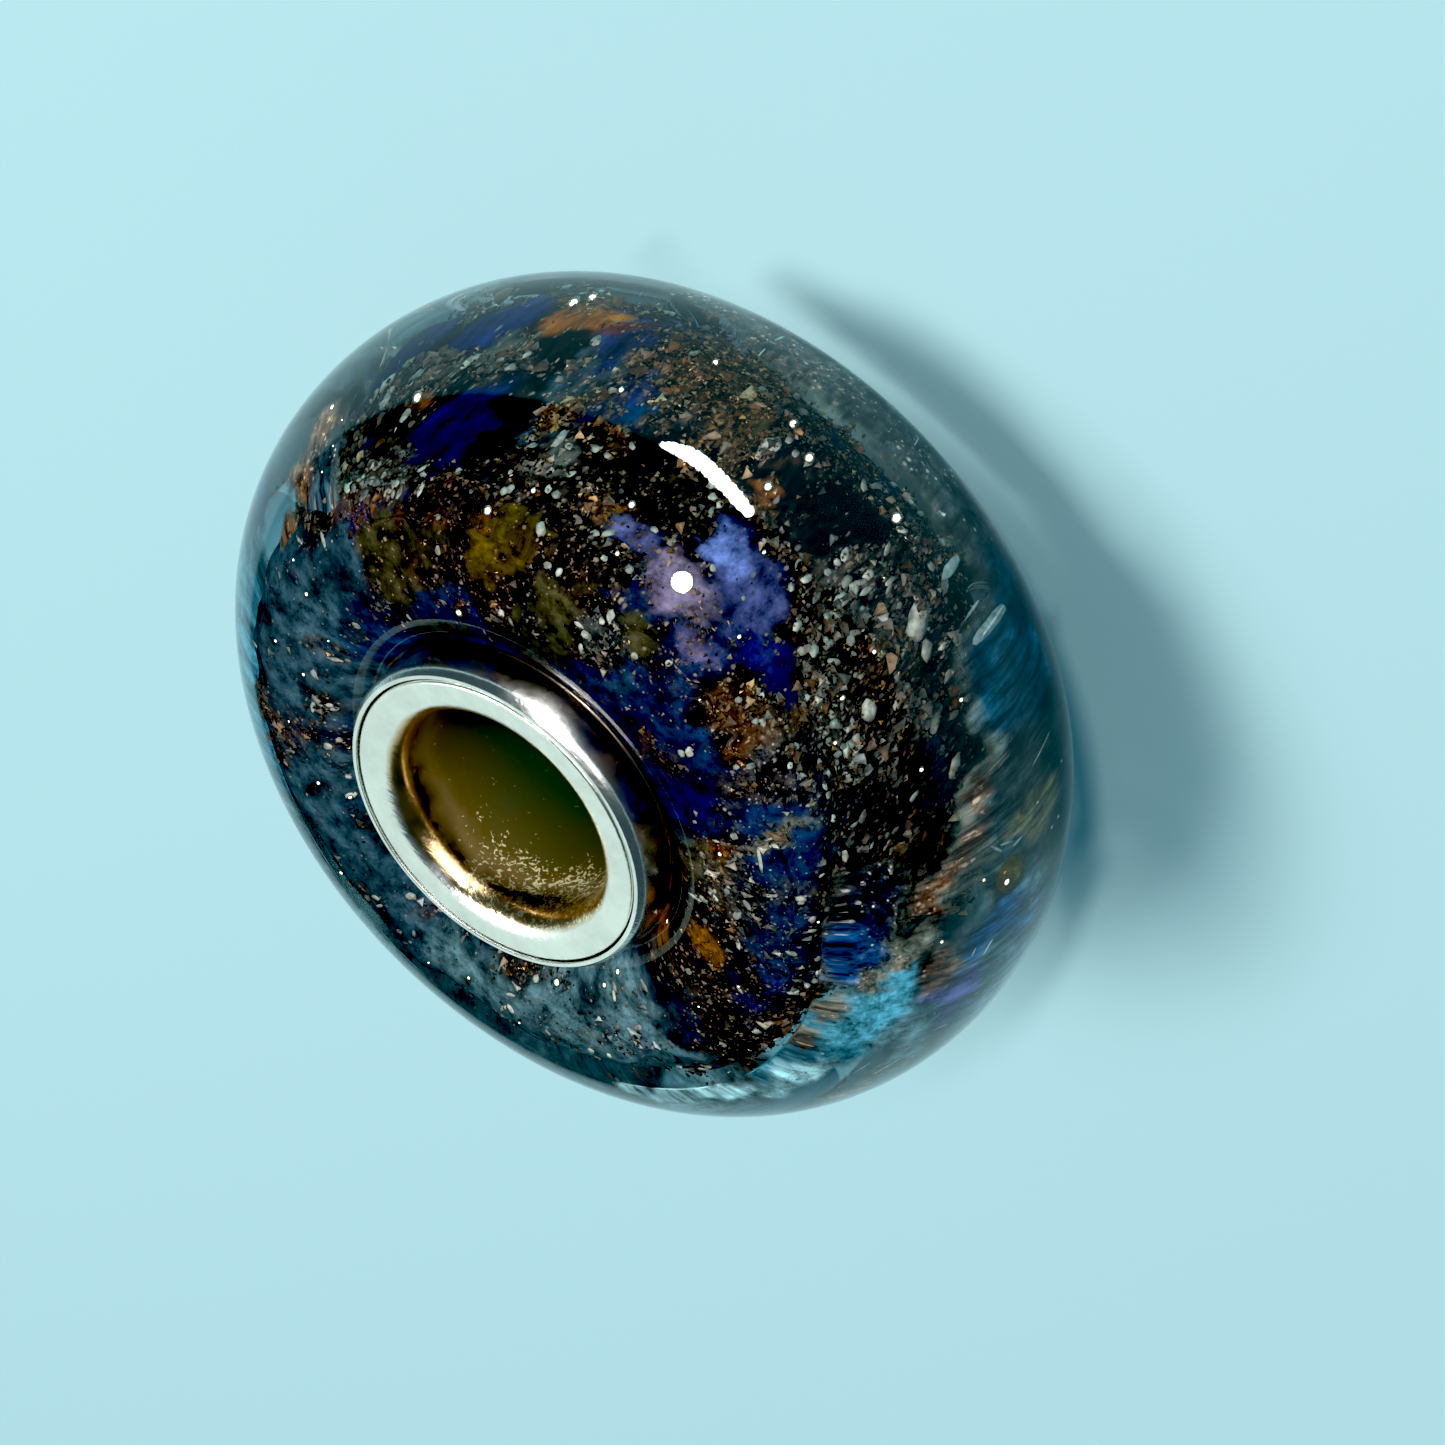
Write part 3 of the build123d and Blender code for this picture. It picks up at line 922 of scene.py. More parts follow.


# Patches of the veil, a layer in the clear glass near its rim: smoky streaks, and painted shade and painted
# light where the floor would show through the rim. Here dust is how dense the veil is.
veil_streaks_and_shade_patches = [Patch(*row) for row in (
    ("dusk", 1055, 770, 1.5, 2.0, 0.97, 0.0), ("slate", 1000, 960, 1.6, 1.2, 0.85, 0.1),
    ("teal", 300, 405, 0.4, 0.7, 0.90, 0.0), ("teal", 360, 335, 0.3, 0.7, 0.90, 0.2),
    ("dusk", 425, 296, 0.3, 0.5, 0.90, 0.1), ("dusk", 520, 276, 0.3, 0.5, 0.90, 0.3),
    ("smoke", 600, 266, 0.3, 0.5, 0.80, 0.2), ("smoke", 700, 286, 1.0, 0.30, 0.85, 0.2),
    ("dusk", 770, 326, 1.1, 0.5, 0.98, 0.5), ("dusk", 735, 312, 1.0, 0.4, 0.97, 0.5),
    ("dusk", 810, 365, 1.1, 0.6, 0.98, 0.5), ("dusk", 850, 374, 1.3, 0.6, 0.97, 0.5),
    ("dusk", 920, 452, 1.3, 0.8, 0.97, 0.3), ("dusk", 985, 540, 1.2, 0.8, 0.95, 0.2),
    ("teal", 1030, 630, 1.4, 1.0, 0.97, 0.0), ("teal", 1005, 680, 0.9, 0.9, 0.95, 0.0),
    ("teal", 1054, 700, 1.0, 1.0, 0.97, 0.0), ("dusk", 1050, 765, 0.9, 0.9, 0.97, 0.1),
    ("dusk", 1015, 790, 0.5, 0.8, 0.95, 0.1), ("olive", 1035, 815, 0.4, 0.7, 0.90, 0.1),
    ("teal", 1010, 870, 0.5, 0.5, 0.95, 0.0), ("teal", 1050, 900, 0.9, 0.9, 0.95, 0.0),
    ("lake", 1000, 940, 0.9, 0.6, 0.85, 0.0), ("slate", 985, 985, 1.0, 0.6, 0.85, 0.1),
    ("violet", 945, 1005, 0.7, 0.6, 0.85, 0.1), ("umber", 935, 968, 0.5, 0.35, 0.85, 0.2),
    ("painted_floor_shade", 870, 1020, 1.3, 0.6, 0.85, 0.0), ("haze", 905, 1030, 0.7, 0.5, 0.70, 0.1),
    ("ink", 870, 905, 0.8, 0.6, 0.99, 0.25), ("navy", 850, 950, 0.8, 0.45, 0.99, 0.20),
    ("ink", 800, 1000, 0.8, 0.35, 0.99, 0.20), ("haze", 905, 1055, 0.8, 0.3, 0.70, 0.5),
    ("tan", 850, 1092, 0.5, 0.2, 0.70, 0.9), ("smoke", 880, 1075, 0.5, 0.2, 0.65, 0.7),
    ("painted_floor_shade", 780, 1050, 1.2, 0.5, 0.80, 0.2), ("painted_floor_light", 690, 1092, 1.3, 0.30, 0.95, 0.2),
    ("painted_floor_light", 720, 1078, 1.3, 0.45, 0.95, 0.2), ("painted_floor_light", 790, 1080, 0.9, 0.35, 0.85, 0.2),
    ("smoke", 922, 938, 0.30, 0.22, 0.95, 0.6), ("smoke", 898, 960, 0.34, 0.22, 0.95, 0.6),
    ("smoke", 868, 985, 0.36, 0.22, 0.95, 0.6), ("smoke", 838, 1008, 0.36, 0.22, 0.95, 0.6),
    ("smoke", 800, 1032, 0.36, 0.20, 0.95, 0.6), ("olive", 745, 1056, 0.45, 0.16, 0.95, 0.6),
    ("dusk", 1008, 872, 0.50, 0.50, 0.99, 0.0), ("haze", 610, 1070, 1.2, 0.6, 0.90, 0.4),
    ("haze", 520, 1035, 1.2, 0.6, 0.85, 0.3), ("haze", 440, 985, 1.2, 0.6, 0.80, 0.2),
    ("haze", 370, 920, 1.2, 0.6, 0.70, 0.2), ("haze", 315, 850, 1.2, 0.6, 0.60, 0.2),
    ("painted_floor_shade", 262, 740, 0.9, 0.8, 0.75, 0.1), ("slate", 320, 490, 0.5, 0.8, 0.92, 0.3),
    ("painted_floor_shade", 250, 590, 0.9, 1.0, 0.90, 0.0), ("painted_floor_shade", 246, 670, 0.9, 1.0, 0.90, 0.0),
    ("navy", 262, 490, 0.4, 0.7, 0.85, 0.0), ("umber", 318, 430, 0.40, 0.40, 0.95, 0.7),
    ("umber", 303, 480, 0.30, 0.40, 0.95, 0.7), ("umber", 292, 545, 0.25, 0.40, 0.95, 0.7),
    ("rust", 989, 783, 0.22, 0.22, 0.96, 0.6), ("rust", 980, 806, 0.22, 0.24, 0.96, 0.6),
    ("rust", 970, 830, 0.22, 0.24, 0.96, 0.6), ("rust", 960, 855, 0.24, 0.24, 0.96, 0.6),
    ("rust", 950, 878, 0.24, 0.24, 0.96, 0.6), ("rust", 940, 900, 0.22, 0.22, 0.96, 0.6),
)]


# Partly real streaks, partly painted shade and painted light over the clear rim
def veil_streaks_and_painted_shade(context):
    """Smoky streaks and painted shade, clear between them. How dense they are comes from the painted dust."""
    material, tree, output = new_material("veil_streaks_and_painted_shade")
    tint, density, warmth, flow = painted(tree)
    grit = tree_node(tree, "Group", {
        "Tint": tint, "Dust": math_node(tree, "MULTIPLY", density, warmth), "Warmth": warmth, "Flow": flow},
        node_tree=glass_grit()).outputs[0]
    drawn = tree_node(tree, "Mapping", {"Vector": flow, "Scale": (1, 1, 0.20)}).outputs[0]
    hairs = noise_node(tree, drawn, 6500.0, 3.0, 0.75, distortion=0.4)
    swirl = noise_node(tree, flow, 900.0, 2.0, distortion=1.5)
    light = ranged(tree, hairs, 0.38, 0.70, 0.35, 3.2)
    green = tree_node(tree, "SeparateColor", {0: tint}).outputs[1]
    calm = ranged(tree, green, 0.08, 0.22, 0.0, 0.80)
    color = mix_colors(tree, 1.0, grit, mix_colors(tree, calm, light, (1, 1, 1, 1)), "MULTIPLY")
    broken = ranged(tree, swirl, 0.35, 0.60, 0.7, 1.25)
    streaky = ranged(tree, hairs, 0.36, 0.50, 0.75, 1.1)
    solid = ranged(tree, density, 0.85, 0.97, 0.0, 0.5)
    ragged = math_node(tree, "MULTIPLY", math_node(tree, "MULTIPLY", density, broken), streaky)
    alpha = math_node(tree, "ADD", ragged, solid, clamp=True)
    shader = tree_node(tree, "BsdfPrincipled", {
        "Base Color": color, "Roughness": 0.6, "Specular IOR Level": 0.0, "Alpha": alpha})
    tree.links.new(shader.outputs[0], output.inputs["Surface"])
    return material


class BEAD_OT_veil(Operator):
    """Thin layer in the clear glass, under the barrel's side: smoky streaks drawn out, with painted shade and
    painted light.
    """

    bl_idname = "bead.veil"
    bl_label = "Veil"

    def execute(self, context):
        sizes = context.scene.bead_sizes
        centre_r = sizes.barrel_r - sizes.veil_cover - sizes.veil_swell
        outer, inner = ([(centre_r + (sizes.veil_swell - wall) * cos(radians(a)),
                          (sizes.veil_z - wall) * sin(radians(a))) for a in range(-66, 67, 6)]
                        for wall in (0, sizes.veil_wall))
        piece = lathe("veil_streaks_and_painted_shade", outer + inner[::-1], glass_steps)
        bpy.ops.mesh.select_all(action="SELECT")
        bpy.ops.transform.translate(value=(*sizes.barrel_shift, 0))
        refine(piece)
        sight = Sight()
        painter = Painter(piece, "smoke", 0.0)
        painter.lay_seen(veil_streaks_and_shade_patches, sight.on_veil)
        painter.store(flow_of(painter.places, painter.normals, sizes))
        finish_piece(piece, material=veil_streaks_and_painted_shade(context))
        return {"FINISHED"}


# Chips of ivory glass. px and py are where the camera sees them, in pixels. Length and width are in mm,
# the turn is from the meridian, in degrees, and shade goes from grey to ivory.
Chip = namedtuple("Chip", "px py length width turn shade")
chips = [Chip(*row) for row in (
    (387, 386, 0.20, 0.15, 0, 0.9), (347, 490, 0.34, 0.10, 40, 0.9), (331, 505, 0.26, 0.08, 40, 0.5),
    (421, 490, 0.30, 0.07, 0, 0.7), (300, 541, 0.22, 0.05, 40, 0.7), (771, 446, 0.26, 0.18, -10, 0.8),
    (761, 392, 0.16, 0.12, 0, 0.5), (917, 622, 0.52, 0.30, 15, 1.0), (925, 650, 0.26, 0.20, 60, 0.6),
    (954, 566, 0.60, 0.18, 10, 1.0), (943, 585, 0.26, 0.10, 25, 0.7), (908, 502, 0.24, 0.12, 5, 0.9),
    (925, 497, 0.14, 0.10, 0, 0.7), (897, 508, 0.16, 0.08, 0, 0.6), (868, 710, 0.30, 0.20, 70, 0.8),
    (932, 723, 0.24, 0.16, 60, 0.9), (953, 766, 0.26, 0.14, 50, 0.9), (810, 707, 0.26, 0.18, 30, 0.6),
    (812, 650, 0.22, 0.16, 30, 0.6), (841, 600, 0.24, 0.14, 0, 0.6), (880, 760, 0.18, 0.12, 60, 0.6),
    (852, 780, 0.16, 0.10, 60, 0.6), (905, 690, 0.16, 0.12, 40, 0.7), (850, 640, 0.18, 0.12, 20, 0.5),
    (890, 850, 0.22, 0.08, 70, 0.6), (760, 860, 0.40, 0.05, 50, 0.6), (690, 752, 0.16, 0.13, 0, 0.9),
    (560, 440, 0.34, 0.10, 5, 0.5), (540, 470, 0.26, 0.10, 5, 0.6), (510, 490, 0.20, 0.10, 10, 0.5),
    (540, 530, 0.22, 0.14, 30, 0.4), (595, 450, 0.14, 0.10, 0, 0.5), (696, 1080, 0.40, 0.20, 60, 0.8),
)]

# Bright copper flakes that face the round lamp. The radius is in mm, and warmth is the halo's strength.
Spark = namedtuple("Spark", "px py radius warmth")
sparks = [Spark(*row) for row in (
    (572, 309, 0.12, 1.0), (590, 304, 0.10, 1.0), (418, 404, 0.12, 1.0), (332, 407, 0.10, 0.3),
    (489, 513, 0.13, 0.9), (460, 610, 0.11, 0.4), (630, 510, 0.10, 0.9), (765, 490, 0.11, 1.0),
    (790, 428, 0.12, 0.5), (805, 461, 0.12, 0.5), (892, 521, 0.13, 0.4), (632, 779, 0.08, 0.5),
    (341, 873, 0.08, 0.3), (320, 782, 0.07, 0.3), (352, 796, 0.06, 0.3), (471, 977, 0.07, 0.4),
    (558, 981, 0.10, 0.5), (619, 970, 0.08, 0.5), (606, 985, 0.07, 0.4), (668, 919, 0.09, 1.0),
    (722, 853, 0.08, 1.0), (990, 779, 0.10, 0.6), (950, 870, 0.08, 0.9), (984, 880, 0.06, 0.9),
    (942, 942, 0.06, 0.7), (712, 367, 0.09, 0.6), (305, 674, 0.06, 0.3), (277, 640, 0.06, 0.2),
    (308, 592, 0.07, 0.3), (615, 558, 0.07, 0.4), (837, 700, 0.07, 0.9), (735, 640, 0.06, 0.9),
    (533, 495, 0.08, 0.9), (620, 395, 0.07, 0.6), (760, 556, 0.05, 0.6), (830, 745, 0.06, 0.5),
    (870, 655, 0.06, 0.5), (915, 770, 0.06, 0.5), (955, 700, 0.06, 0.6), (1007, 882, 0.11, 0.0),
    (979, 800, 0.05, 0.9), (968, 822, 0.04, 0.9), (962, 845, 0.05, 0.9), (952, 852, 0.04, 0.9),
    (960, 872, 0.05, 0.9), (945, 884, 0.05, 0.9), (938, 903, 0.04, 0.9), (955, 893, 0.04, 0.9),
    (972, 846, 0.04, 0.9), (342, 420, 0.04, 0.9), (322, 472, 0.04, 0.9), (308, 520, 0.04, 0.9),
    (296, 560, 0.05, 0.9), (333, 446, 0.04, 0.9), (700, 700, 0.04, 0.5), (590, 780, 0.04, 0.3),
    (430, 960, 0.04, 0.2), (520, 1020, 0.04, 0.2), (740, 985, 0.04, 0.2), (700, 1005, 0.04, 0.2),
    (815, 920, 0.04, 0.2), (365, 700, 0.04, 0.2), (290, 720, 0.04, 0.2), (330, 640, 0.04, 0.2),
)]


# Wisps drawn out in the clear glass, and pale hairlines and a light arc over the bubble that are painted
# glints. px and py are where the camera sees them, in pixels. Length, width and depth under the surface are
# in mm, and the turn is from the meridian, in degrees.
Wisp = namedtuple("Wisp", "glass px py length width turn depth")
wisps = [Wisp(*row) for row in (
    ("ash", 990, 624, 1.15, 0.20, 0, 0.45), ("pale", 994, 620, 0.80, 0.05, 3, 0.38),
    ("ash", 972, 610, 0.50, 0.05, 6, 0.45), ("ash", 951, 567, 0.60, 0.17, 5, 0.40),
    # The pale hairlines here and on the next line are painted glints
    ("pale", 780, 338, 0.40, 0.04, 5, 0.3), ("pale", 917, 441, 0.50, 0.020, 5, 0.2),
    ("pale", 1002, 541, 0.25, 0.02, 10, 0.2), ("pale", 762, 352, 0.30, 0.02, 10, 0.3),
    # The three ash pieces over the bubble are a painted light arc, a reflection on the bubble
    ("pale", 1042, 748, 0.70, 0.016, 10, 0.35), ("ash", 997, 849, 0.30, 0.045, -50, 0.3),
    ("ash", 1007, 843, 0.28, 0.045, -20, 0.3), ("ash", 1018, 841, 0.24, 0.040, 10, 0.3),
    ("tan", 998, 762, 0.50, 0.016, 5, 0.35), ("pale", 988, 947, 0.30, 0.035, 60, 0.35),
    ("pale", 974, 952, 0.16, 0.03, 70, 0.35), ("pale", 886, 1067, 0.60, 0.020, 60, 0.25),
    ("pale", 862, 1068, 0.40, 0.016, 70, 0.25),
)]


class BEAD_OT_wisps(Operator):
    """Streaks drawn out in the clear glass near its rim, some of them painted glints, and one trapped bubble.
    """

    bl_idname = "bead.wisps"
    bl_label = "Wisps and bubble"

    def execute(self, context):
        look = context.scene.bead_glass
        sight = Sight()
        hits = [sight.inside(wisp.px, wisp.py, wisp.depth * mm) for wisp in wisps]
        centres, outs = (np.array([tuple(hit[i]) for hit in hits]) for i in range(2))
        half = np.array([(wisp.width, wisp.length, wisp.width * 0.4) for wisp in wisps]) * mm / 2
        frames = axes_on(outs, np.radians([wisp.turn for wisp in wisps])) * half[:, :, None]
        tints = np.array([glass_colors[wisp.glass] for wisp in wisps])
        streaks = pebbles("wisps", ball, centres, frames, tints, 0.12, look.seed)
        finish_piece(streaks, material=inclusion_material("drawn_glass_and_glints", 0.0, 0.5))

        place, _ = sight.inside(*bubble_at, bubble_depth)
        deselect()
        bpy.ops.mesh.primitive_uv_sphere_add(segments=32, ring_count=16, radius=look.bubble, location=place)
        bubble = bpy.context.object
        bubble.name = bubble.data.name = "bubble"
        bpy.ops.object.transform_apply(location=True, rotation=True, scale=True)
        store_tint(bubble.data, np.tile(glass_colors["olive gold"], (len(bubble.data.vertices), 1)))
        finish_piece(bubble, material=inclusion_material("bubble_skin", 0.6, 0.12))
        return {"FINISHED"}


class BEAD_OT_chips(Operator):
    """Ivory chips pressed into the core."""

    bl_idname = "bead.chips"
    bl_label = "Chips"

    def execute(self, context):
        look = context.scene.bead_glass
        sight = Sight()
        draw = np.random.default_rng(look.seed)
        seen = [(chip, sight.on_core(chip.px, chip.py)) for chip in chips]
        seen = [(chip, *hit) for chip, hit in seen if hit]
        places, normals, dust, warmth, radius = core_surface()
        bare_of_chips = 3.3 * mm
        weight = dust ** 2 * (1 - warmth) * (radius > bare_of_chips)
        index = draw.choice(len(places), look.chips, p=weight / weight.sum())
        centres = np.vstack([[place for _, place, _ in seen], places[index]])
        outs = np.vstack([[facing for _, _, facing in seen], normals[index]])
        length = np.concatenate([[chip.length for chip, _, _ in seen], draw.uniform(0.08, 0.22, look.chips)])
        width = np.concatenate([[chip.width for chip, _, _ in seen], draw.uniform(0.05, 0.12, look.chips)])
        turn = np.concatenate([[radians(chip.turn) for chip, _, _ in seen], draw.normal(0, 0.4, look.chips)])
        shade = np.concatenate([[chip.shade for chip, _, _ in seen], draw.uniform(0.1, 0.8, look.chips)])
        half = np.column_stack([width * 1.15, length * 1.1, width * 0.5]) * mm / 2
        frames = axes_on(outs, turn) * half[:, :, None]
        grey, ivory = np.array((0.22, 0.20, 0.18)), np.array((1.0, 0.92, 0.76))
        tints = grey + (ivory - grey) * shade[:, None]
        piece = pebbles("chips_ivory", ball, centres + outs * 0.02 * mm, frames, tints, 0.26, look.seed)
        finish_piece(piece, material=inclusion_material("ivory_glass", 0.0, 0.6))
        return {"FINISHED"}


class BEAD_OT_grains(Operator):
    """Crushed grey and brown grains, sprinkled thickly where the core is dusty."""

    bl_idname = "bead.grains"
    bl_label = "Grains"

    def execute(self, context):
        look = context.scene.bead_glass
        draw = np.random.default_rng(look.seed + 1)
        places, normals, dust, warmth, radius = core_surface()
        clumps = np.clip(0.55 + noise_at(places, 0.5 * mm, 5)[:, 0] * 1.3
                         + noise_at(places, 0.2 * mm, 6)[:, 0] * 0.9, 0.02, 1.6)
        bare_of_grains = 3.2 * mm
        weight = dust ** 2.2 * clumps ** 3 * (radius > bare_of_grains)
        index = draw.choice(len(places), look.grains, p=weight / weight.sum())
        count = look.grains
        outs = normals[index]
        size = np.clip(draw.lognormal(-2.85, 0.6, count), 0.022, 0.22) * (0.5 + 0.6 * dust[index]) * mm / 2
        half = np.column_stack([
            size, size * draw.uniform(0.9, 1.9, count), size * draw.uniform(0.4, 0.9, count)])
        axes = axes_on(outs, draw.normal(0, 0.6, count))
        centres = places[index] + outs * (draw.exponential(0.03, count)[:, None] + 0.005) * mm
        for side in range(2):
            centres += axes[:, side] * draw.uniform(-0.06, 0.06, (count, 1)) * mm
        grey, copper = np.array((0.33, 0.34, 0.32)), np.array((0.44, 0.20, 0.075))
        warm = np.clip(warmth[index] + draw.normal(0, 0.22, count), 0, 1)[:, None]
        light = draw.lognormal(-1.35, 0.7, count) * np.clip(size / (0.028 * mm), 0.5, 2.5)
        tints = (grey + (copper - grey) * warm) * light[:, None]
        piece = pebbles("grains_frit", splinter, centres, axes * half[:, :, None], np.clip(tints, 0, 0.85),
                        0.3, look.seed)
        finish_piece(piece, material=inclusion_material("frit", 0.0, 0.6), smooth=False)
        return {"FINISHED"}


class BEAD_OT_glitter(Operator):
    """Copper flakes in the glass. The largest ones face the round lamp and shine out."""

    bl_idname = "bead.glitter"
    bl_label = "Copper glitter"

    def execute(self, context):
        look = context.scene.bead_glass
        sight = Sight()
        draw = np.random.default_rng(look.seed + 2)
        places, normals, dust, warmth, radius = core_surface()
        weight = dust ** 1.8 * warmth ** 2 * (radius > bare_r)
        index = draw.choice(len(places), look.flakes, p=weight / weight.sum())
        outs = normals[index] + draw.normal(0, 0.45, (look.flakes, 3))
        size = draw.uniform(0.015, 0.045, look.flakes) * mm
        half = np.column_stack([size, size, size * 0.2])
        centres = places[index] + normals[index] * draw.exponential(0.05, look.flakes)[:, None] * mm
        centres += draw.normal(0, 0.04, (look.flakes, 3)) * mm
        tints = np.array((0.95, 0.52, 0.24)) * draw.uniform(0.5, 1.0, look.flakes)[:, None]
        frames = axes_on(outs, draw.uniform(0, pi, look.flakes)) * half[:, :, None]
        flakes = pebbles("flakes_copper", splinter, centres, frames, tints, 0.25, look.seed)
        copper = inclusion_material("copper", 1.0, 0.32)
        finish_piece(flakes, material=copper, smooth=False)

        lamp = sight.mirror(*spot_at, lamp_distance)
        centres, outs, sizes = [], [], []
        for spark in sparks:
            hit = sight.on_core(spark.px, spark.py)
            place = hit[0] + hit[1] * 0.08 * mm if hit else sight.inside(spark.px, spark.py, 0.4 * mm)[0]
            to_eye = -sight.inner(spark.px, spark.py)
            centres.append(place)
            outs.append((to_eye + (lamp - place).normalized()).normalized())
            sizes.append(spark.radius * 0.66 * mm)
        half = np.column_stack([sizes, sizes, np.array(sizes) * 0.1])
        frames = axes_on(np.array(outs), np.zeros(len(outs))) * half[:, :, None]
        tints = np.tile((1.0, 0.78, 0.55), (len(outs), 1))
        bright = pebbles("flakes_bright", ball, np.array(centres), frames, tints, 0.0, look.seed)
        finish_piece(bright, material=inclusion_material("bright_copper", 1.0, 0.22))
        return {"FINISHED"}


def silver_metal(context):
    """Polished silver with fine scratches, tarnished inside the bore, with painted shade low on the collar's
    side and painted glints in the bore.
    """
    look = context.scene.bead_silver
    sizes = context.scene.bead_sizes
    material, tree, output = new_material("silver")
    place = tree_node(tree, "TexCoord").outputs["Object"]
    parts = tree_node(tree, "SeparateXYZ", {0: place}).outputs
    flat = tree_node(tree, "CombineXYZ", {0: parts[0], 1: parts[1]}).outputs[0]
    radius = tree_node(tree, "VectorMath", {0: flat}, operation="LENGTH").outputs["Value"]
    height = math_node(tree, "ABSOLUTE", parts[2])
    cloud = noise_node(tree, place, 1400.0, 3.0, 0.6)
    wander = ranged(tree, cloud, 0.0, 1.0, -0.5 * mm, 0.5 * mm)
    inside = ranged(tree, math_node(tree, "ADD", radius, math_node(tree, "MULTIPLY", wander, 0.2)),
                    sizes.bore_r + 0.23 * mm, sizes.bore_r + 0.15 * mm)
    depth = ranged(tree, math_node(tree, "ADD", height, wander), 0.8 * mm, sizes.face_z)
    bore = tree_node(tree, "ValToRGB", {0: depth})
    stops = bore.color_ramp.elements
    stops[0].position, stops[0].color = 0.15, (*look.bore_deep, 1)
    stops[1].position, stops[1].color = 0.95, (*look.bore_mouth, 1)
    stops.new(0.62).color = (*look.bore_middle, 1)

    # Painted glints: bright specks on the bore's wall half way down
    worms = noise_node(tree, place, 11000.0, 2.0, distortion=1.2)
    patchy = noise_node(tree, place, 700.0, 1.0)
    sideways = math_node(tree, "ADD", parts[0], math_node(tree, "MULTIPLY", patchy, 0.8 * mm))
    glint_zone = math_node(tree, "MULTIPLY", ranged(tree, depth, 0.40, 0.60),
                     ranged(tree, sideways, 1.0 * mm, -0.2 * mm))
    raised = math_node(tree, "ADD", worms, math_node(tree, "MULTIPLY", glint_zone, 0.20))
    painted_glint = math_node(tree, "MULTIPLY", inside, ranged(tree, raised, 0.735, 0.765))
    bore_tarnish_and_glints = mix_colors(tree, painted_glint, bore.outputs[0], (*look.painted_glint, 1))

    # Painted shade, with some brown tarnish, darker towards the foot of the collar's side
    wavy = math_node(tree, "ADD", height, math_node(tree, "MULTIPLY", wander, 0.3))
    foot_shade_and_stain = ranged(tree, wavy, sizes.face_z - 0.12 * mm, sizes.collar_base_z + 0.15 * mm, 0.0, 0.92)
    outside = ranged(tree, radius, sizes.flare_r, sizes.flare_r + 0.04 * mm)
    stain_and_shade = math_node(tree, "MULTIPLY", foot_shade_and_stain, outside)
    silver_stain_and_shade = mix_colors(tree, stain_and_shade, (*look.silver, 1), (*look.stain_and_shade, 1))
    dull = ranged(tree, cloud, 0.35, 0.70, 1.0, 0.80)
    silver_stain_and_shade = mix_colors(tree, 1.0, silver_stain_and_shade, dull, "MULTIPLY")
    color = mix_colors(tree, inside, silver_stain_and_shade, bore_tarnish_and_glints)

    # Scratches and pits
    scratch = tree_node(tree, "Mapping", {"Vector": place, "Rotation": (0.3, 0.2, 0.7), "Scale": (1, 9, 1)})
    lines = noise_node(tree, scratch.outputs[0], 2500.0, 4.0)
    pits = noise_node(tree, place, 9000.0, 3.0)
    relief = math_node(tree, "ADD", lines, pits)
    bump = tree_node(tree, "Bump", {"Strength": 0.22, "Distance": 0.02 * mm, "Height": relief})
    satin = ranged(tree, cloud, 0.3, 0.7, 0.16, 0.30)
    worn_in = math_node(tree, "MULTIPLY", inside, ranged(tree, depth, 0.85, 0.70))
    rough = ranged(tree, worn_in, 0.0, 1.0, satin, 0.5)
    metallic = ranged(tree, worn_in, 0.0, 1.0, 1.0, 0.45)
    shader = tree_node(tree, "BsdfPrincipled", {
        "Base Color": color, "Metallic": metallic, "Roughness": rough, "Normal": bump.outputs[0]})
    tree.links.new(shader.outputs[0], output.inputs["Surface"])
    return material


